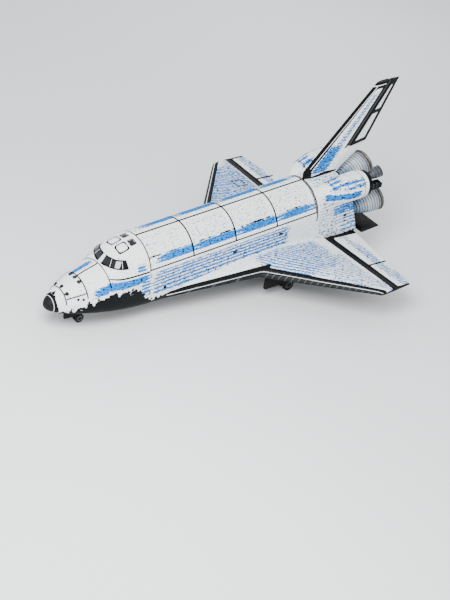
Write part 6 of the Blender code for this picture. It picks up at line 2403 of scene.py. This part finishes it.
    def nose_gear(self) -> None:
        """The nose gear: a fixed leg, a steered lower strut, twin wheels and two doors."""
        axle, x, half, steps = self.nose_axle(), self.nose_x, NOSE_WELL_HALF - self.gap, np.linspace(0, 1, 24)
        self.nose_leg(x, half, NOSE_WELL_TOP - self.gap)
        self.hoses("nose_leg_hoses", [[self.nose_hose(t, flip) for t in steps] for flip in (-1, 1)], 0.011)
        profile = ((0, 0.069), (0.004, 0.074), (0.05 - axle.z, 0.074))
        strut = [turned("strut", profile, (x, 0, 0.05 - self.gap), (0, 0, -1), 40)]
        dress(join("nose_strut_chrome", strut), "nose_steering", CHROME, angle=35)
        low = [pin("axle_block", axle, 0.06, 0.11, 40)]
        low.append(block("tow_lug", (x - 0.20, -0.05, axle.z + 0.22), (x - 0.04, 0.05, axle.z + 0.30), 0.008))
        profile = ((0, 0.085), (0.01, 0.098), (0.07, 0.098), (0.08, 0.085))
        low.append(turned("collar", profile, (x, 0, axle.z + 0.20), (0, 0, 1), 40))
        knees = ((x + 0.09, 0, 0.0), (x + 0.30, 0, (axle.z + 0.1) / 2), (x + 0.09, 0, axle.z + 0.12))
        low += self.links(*map(Vector, knees), 0.05)
        dress(join("nose_axle_block", low), "nose_steering", GEAR_PAINT, ["nose_strut_lower"], angle=35)
        self.wheels("nose", axle, self.nose_tyre, self.nose_track)
        x0, x1 = NOSE_WELL_X
        outline = [(x0 + 0.03, 0.05), (x0 + 0.14, -0.14), (x1 - 0.12, -0.28), (x1 - 0.03, -0.10)]
        outline += [(x1 - 0.03, 0.50), (x0 + 0.03, 0.78)]
        for name, side in SIDES:
            self.door(f"{name}_nose_gear_door", side, half, outline)

    def nose_hose(self, t: float, side: int) -> Triple:
        """A point of the nose leg's hose, t of the way down."""
        bow = 0.05 * sin(t * pi)
        return self.nose_x + 0.10 + bow, side * (0.05 + 0.03 * sin(t * 6)), 1.0 - 0.86 * t

    def main_hose(self, t: float, side: int, flip: int) -> Triple:
        """A point of a main leg's hose, t of the way down."""
        bow = 0.12 * sin(min(t * 1.6, 1) * pi)
        x, y, _ = self.main_axle
        return x - 0.26 - bow + 0.10 * t, side * y + flip * (0.06 + 0.02 * sin(t * 9)), 0.6 - 2.5 * t

    @staticmethod
    def nose_leg(x: float, half: float, top: float) -> None:
        """The nose gear's fixed leg with its braces and steering jacks.

        Args:
            x: Where it stands along the body.
            half: Half the length of its bars across.
            top: The height of its upper end.
        """
        profile = ((0, 0.095), (0.02, 0.11), (1.18, 0.11), (1.20, 0.125), (1.26, 0.125), (1.2985, 0.115))
        leg = [turned("leg", profile, (x, 0, top), (0, 0, -1), 40)]
        leg.append(pin("trunnion", (x, 0, 1.1), half, 0.07, 32))
        leg.append(rod("brace", (2.50, 0, 1.14), (x - 0.06, 0, 0.25), 0.05, 24))
        leg.append(pin("brace_pivot", (2.53, 0, 1.11), half, 0.06, 24))
        for flip in (-1, 1):
            leg.append(rod("side_brace", (2.53, flip * 0.36, 1.11), (x - 0.05, flip * 0.03, 0.40), 0.028, 16))
            leg.append(rod("steering_jack", (x - 0.06, flip * 0.11, 0.62), (x - 0.06, flip * 0.11, 0.16), 0.032, 16))
        dress(join("nose_leg_fixed", leg), "root", GEAR_PAINT, ["nose_gear_leg"], angle=35)

    def door(self, node: str, side: int, edge: float, outline: Profile) -> None:
        """A gear door that hangs open, its black tiles outside.

        Args:
            node: The node that it stands for, which also names it.
            side: -1 for port, 1 for starboard.
            edge: How far out its outer face is.
            outline: Its outline, seen from the side.
        """
        y0, y1 = sorted((side * (edge - self.door_wall), side * edge))
        panel = prism(f"{node}_panel", [(x, y0, z) for x, z in outline], (0, y1 - y0, 0))
        modify(panel, "BEVEL", width=0.012, segments=2, limit_method="ANGLE")
        dress(panel, "root", BLACK_TILE, [node], Mapping.SIDE)

    def main_gear(self, name: str, side: int) -> None:
        """One main gear: leg, braces, twin wheels and door.

        Args:
            name: Its side's name.
            side: -1 for port, 1 for starboard.
        """
        x, y, z = self.main_axle
        centre = Vector((x, side * y, z))
        self.main_leg(name, side, centre)
        chrome = [rod("piston", (x - 0.04, side * y, -0.98), centre + Vector((0, 0, 0.10)), 0.11, 48)]
        dress(join(f"{name}_main_piston", chrome), "root", CHROME, angle=35)
        paths = [[self.main_hose(t, side, flip) for t in np.linspace(0, 1, 36)] for flip in (-1, 1)]
        self.hoses(f"{name}_main_hoses", paths, 0.014)
        self.wheels(f"{name}_main", centre, self.main_tyre, self.main_track)
        brakes = []
        for flip in (-1, 1):
            middle = centre + Vector((0, flip * (self.main_track - self.main_tyre[1] * 0.82), 0))
            brakes.append(rod("brake_stack", middle - Vector((0, flip * 0.07, 0)), middle, 0.24, 48))
        dress(join(f"{name}_main_brakes", brakes), "root", BRAKE)
        x0, x1 = MAIN_WELL_X
        outline = [(x0 + 0.04, -1.20), (x0 + 0.30, -1.45), (x1 - 0.30, -1.45), (x1 - 0.04, -1.20)]
        outline += [(x1 - 0.04, 0.30), (x0 + 0.04, 0.30)]
        self.door(f"{name}_main_gear_door", side, MAIN_WELL_Y[1] - self.gap, outline)

    def main_leg(self, name: str, side: int, centre: Vector) -> None:
        """A main gear's painted leg.

        Args:
            name: Its side's name.
            side: -1 for port, 1 for starboard.
            centre: The axle's middle.
        """
        x, y, z = self.main_axle
        top = MAIN_WELL_TOP - self.gap
        high, low = Vector((x - 0.18, side * y, top)), Vector((x - 0.03, side * y, -1.05))
        aim, length = (low - high).normalized(), (low - high).length
        line = ((0, 0.14), (0.03, 0.16), (length - 0.16, 0.16), (length - 0.14, 0.178))
        line += ((length - 0.03, 0.178), (length, 0.15))
        reach = (MAIN_WELL_Y[1] - MAIN_WELL_Y[0]) / 2 - self.gap * 2
        parts = [turned("cylinder", line, high, aim, 48)]
        parts.append(pin("trunnion", (x - 0.17, side * y, 0.75), reach, 0.09, 32))
        for flip in (-1, 1):
            start = Vector((21.9, side * y + flip * 0.35, top - 0.05))
            parts.append(rod("drag_brace", start, (x - 0.10, side * y + flip * 0.06, -0.75), 0.055, 24))
            parts.append(pin("brace_foot", start, 0.09, 0.075, 24))
            parts.append(rod("brace_tie", (22.8, side * y, 0.10), (22.8, side * y + flip * 0.22, 0.10), 0.03, 12))
        ends = [(x - 0.10, side * (y + 0.13), height) for height in (-0.8, z + 0.10)]
        parts += [rod("brake_rod", *ends, 0.02, 12), pin("axle_block", centre, 0.09, 0.17, 48)]
        knees = ((x + 0.14, side * y, -0.95), (x + 0.42, side * y, -1.42), (x + 0.12, side * y, z + 0.12))
        leg = join(f"{name}_main_leg_painted", parts + self.links(*map(Vector, knees), 0.07))
        dress(leg, "root", GEAR_PAINT, [f"{name}_main_gear_leg"], angle=35)


@dataclass
class Studio:
    """The pale floor, soft lights and the camera at the photograph's angle."""

    position: Triple = (-73.54, -99.49, 92.85)
    view: Triple = (0.557, 0.592, -0.582)
    up: Triple = (0.289, 0.519, 0.804)
    lens: float = 112.14

    def build(self) -> None:
        """Sets the stage."""
        bpy.ops.mesh.primitive_plane_add(size=900)
        floor = bpy.context.object
        floor.name = "studio_floor"
        floor.data.materials.append(FLOOR.material())
        world = bpy.data.worlds.new("studio")
        world.use_nodes = True
        world.node_tree.nodes["Background"].inputs["Color"].default_value = rgba("#eef2f5")
        world.node_tree.nodes["Background"].inputs["Strength"].default_value = 1.15
        bpy.context.scene.world = world
        self.camera()
        self.lamp("key_light", (-45, -30, 60), 34, 105000.0)
        self.lamp("fill_light", (-10, -70, 30), 45, 9000.0)
        self.lamp("rim_light", (50, 45, 40), 30, 12000.0)

    def camera(self) -> None:
        """A camera placed by the direction it looks in and its up direction."""
        back = -Vector(self.view).normalized()
        right = Vector(self.up).cross(back).normalized()
        turn = Matrix((right, back.cross(right), back)).transposed().to_4x4()
        bpy.ops.object.camera_add()
        camera = bpy.context.object
        camera.name = "photograph_view"
        camera.data.lens = self.lens
        camera.data.sensor_width = 36
        camera.data.clip_end = 1000
        camera.matrix_world = STANCE @ Matrix.Translation(Vector(self.position)) @ turn
        bpy.context.scene.camera = camera

    def lamp(self, name: str, place: Triple, size: float, power: float) -> None:
        """A large soft area light that looks at the vehicle's middle."""
        bpy.ops.object.light_add(type="AREA", location=place)
        lamp = bpy.context.object
        lamp.name = name
        lamp.data.size = size
        lamp.data.energy = power
        lamp.rotation_euler = (Vector((0, 0, 2)) - Vector(place)).to_track_quat("-Z", "Y").to_euler()


def main() -> None:
    """Builds every piece and sets the stage."""
    logging.basicConfig(level=logging.INFO, format="%(name)s: %(message)s")
    for part in (Forebody(), MiddleBody(), AftBody(), Pods(), Wings(), Fin(), LandingGear(), Studio()):
        part.build()


if __name__ == "__main__":
    main()
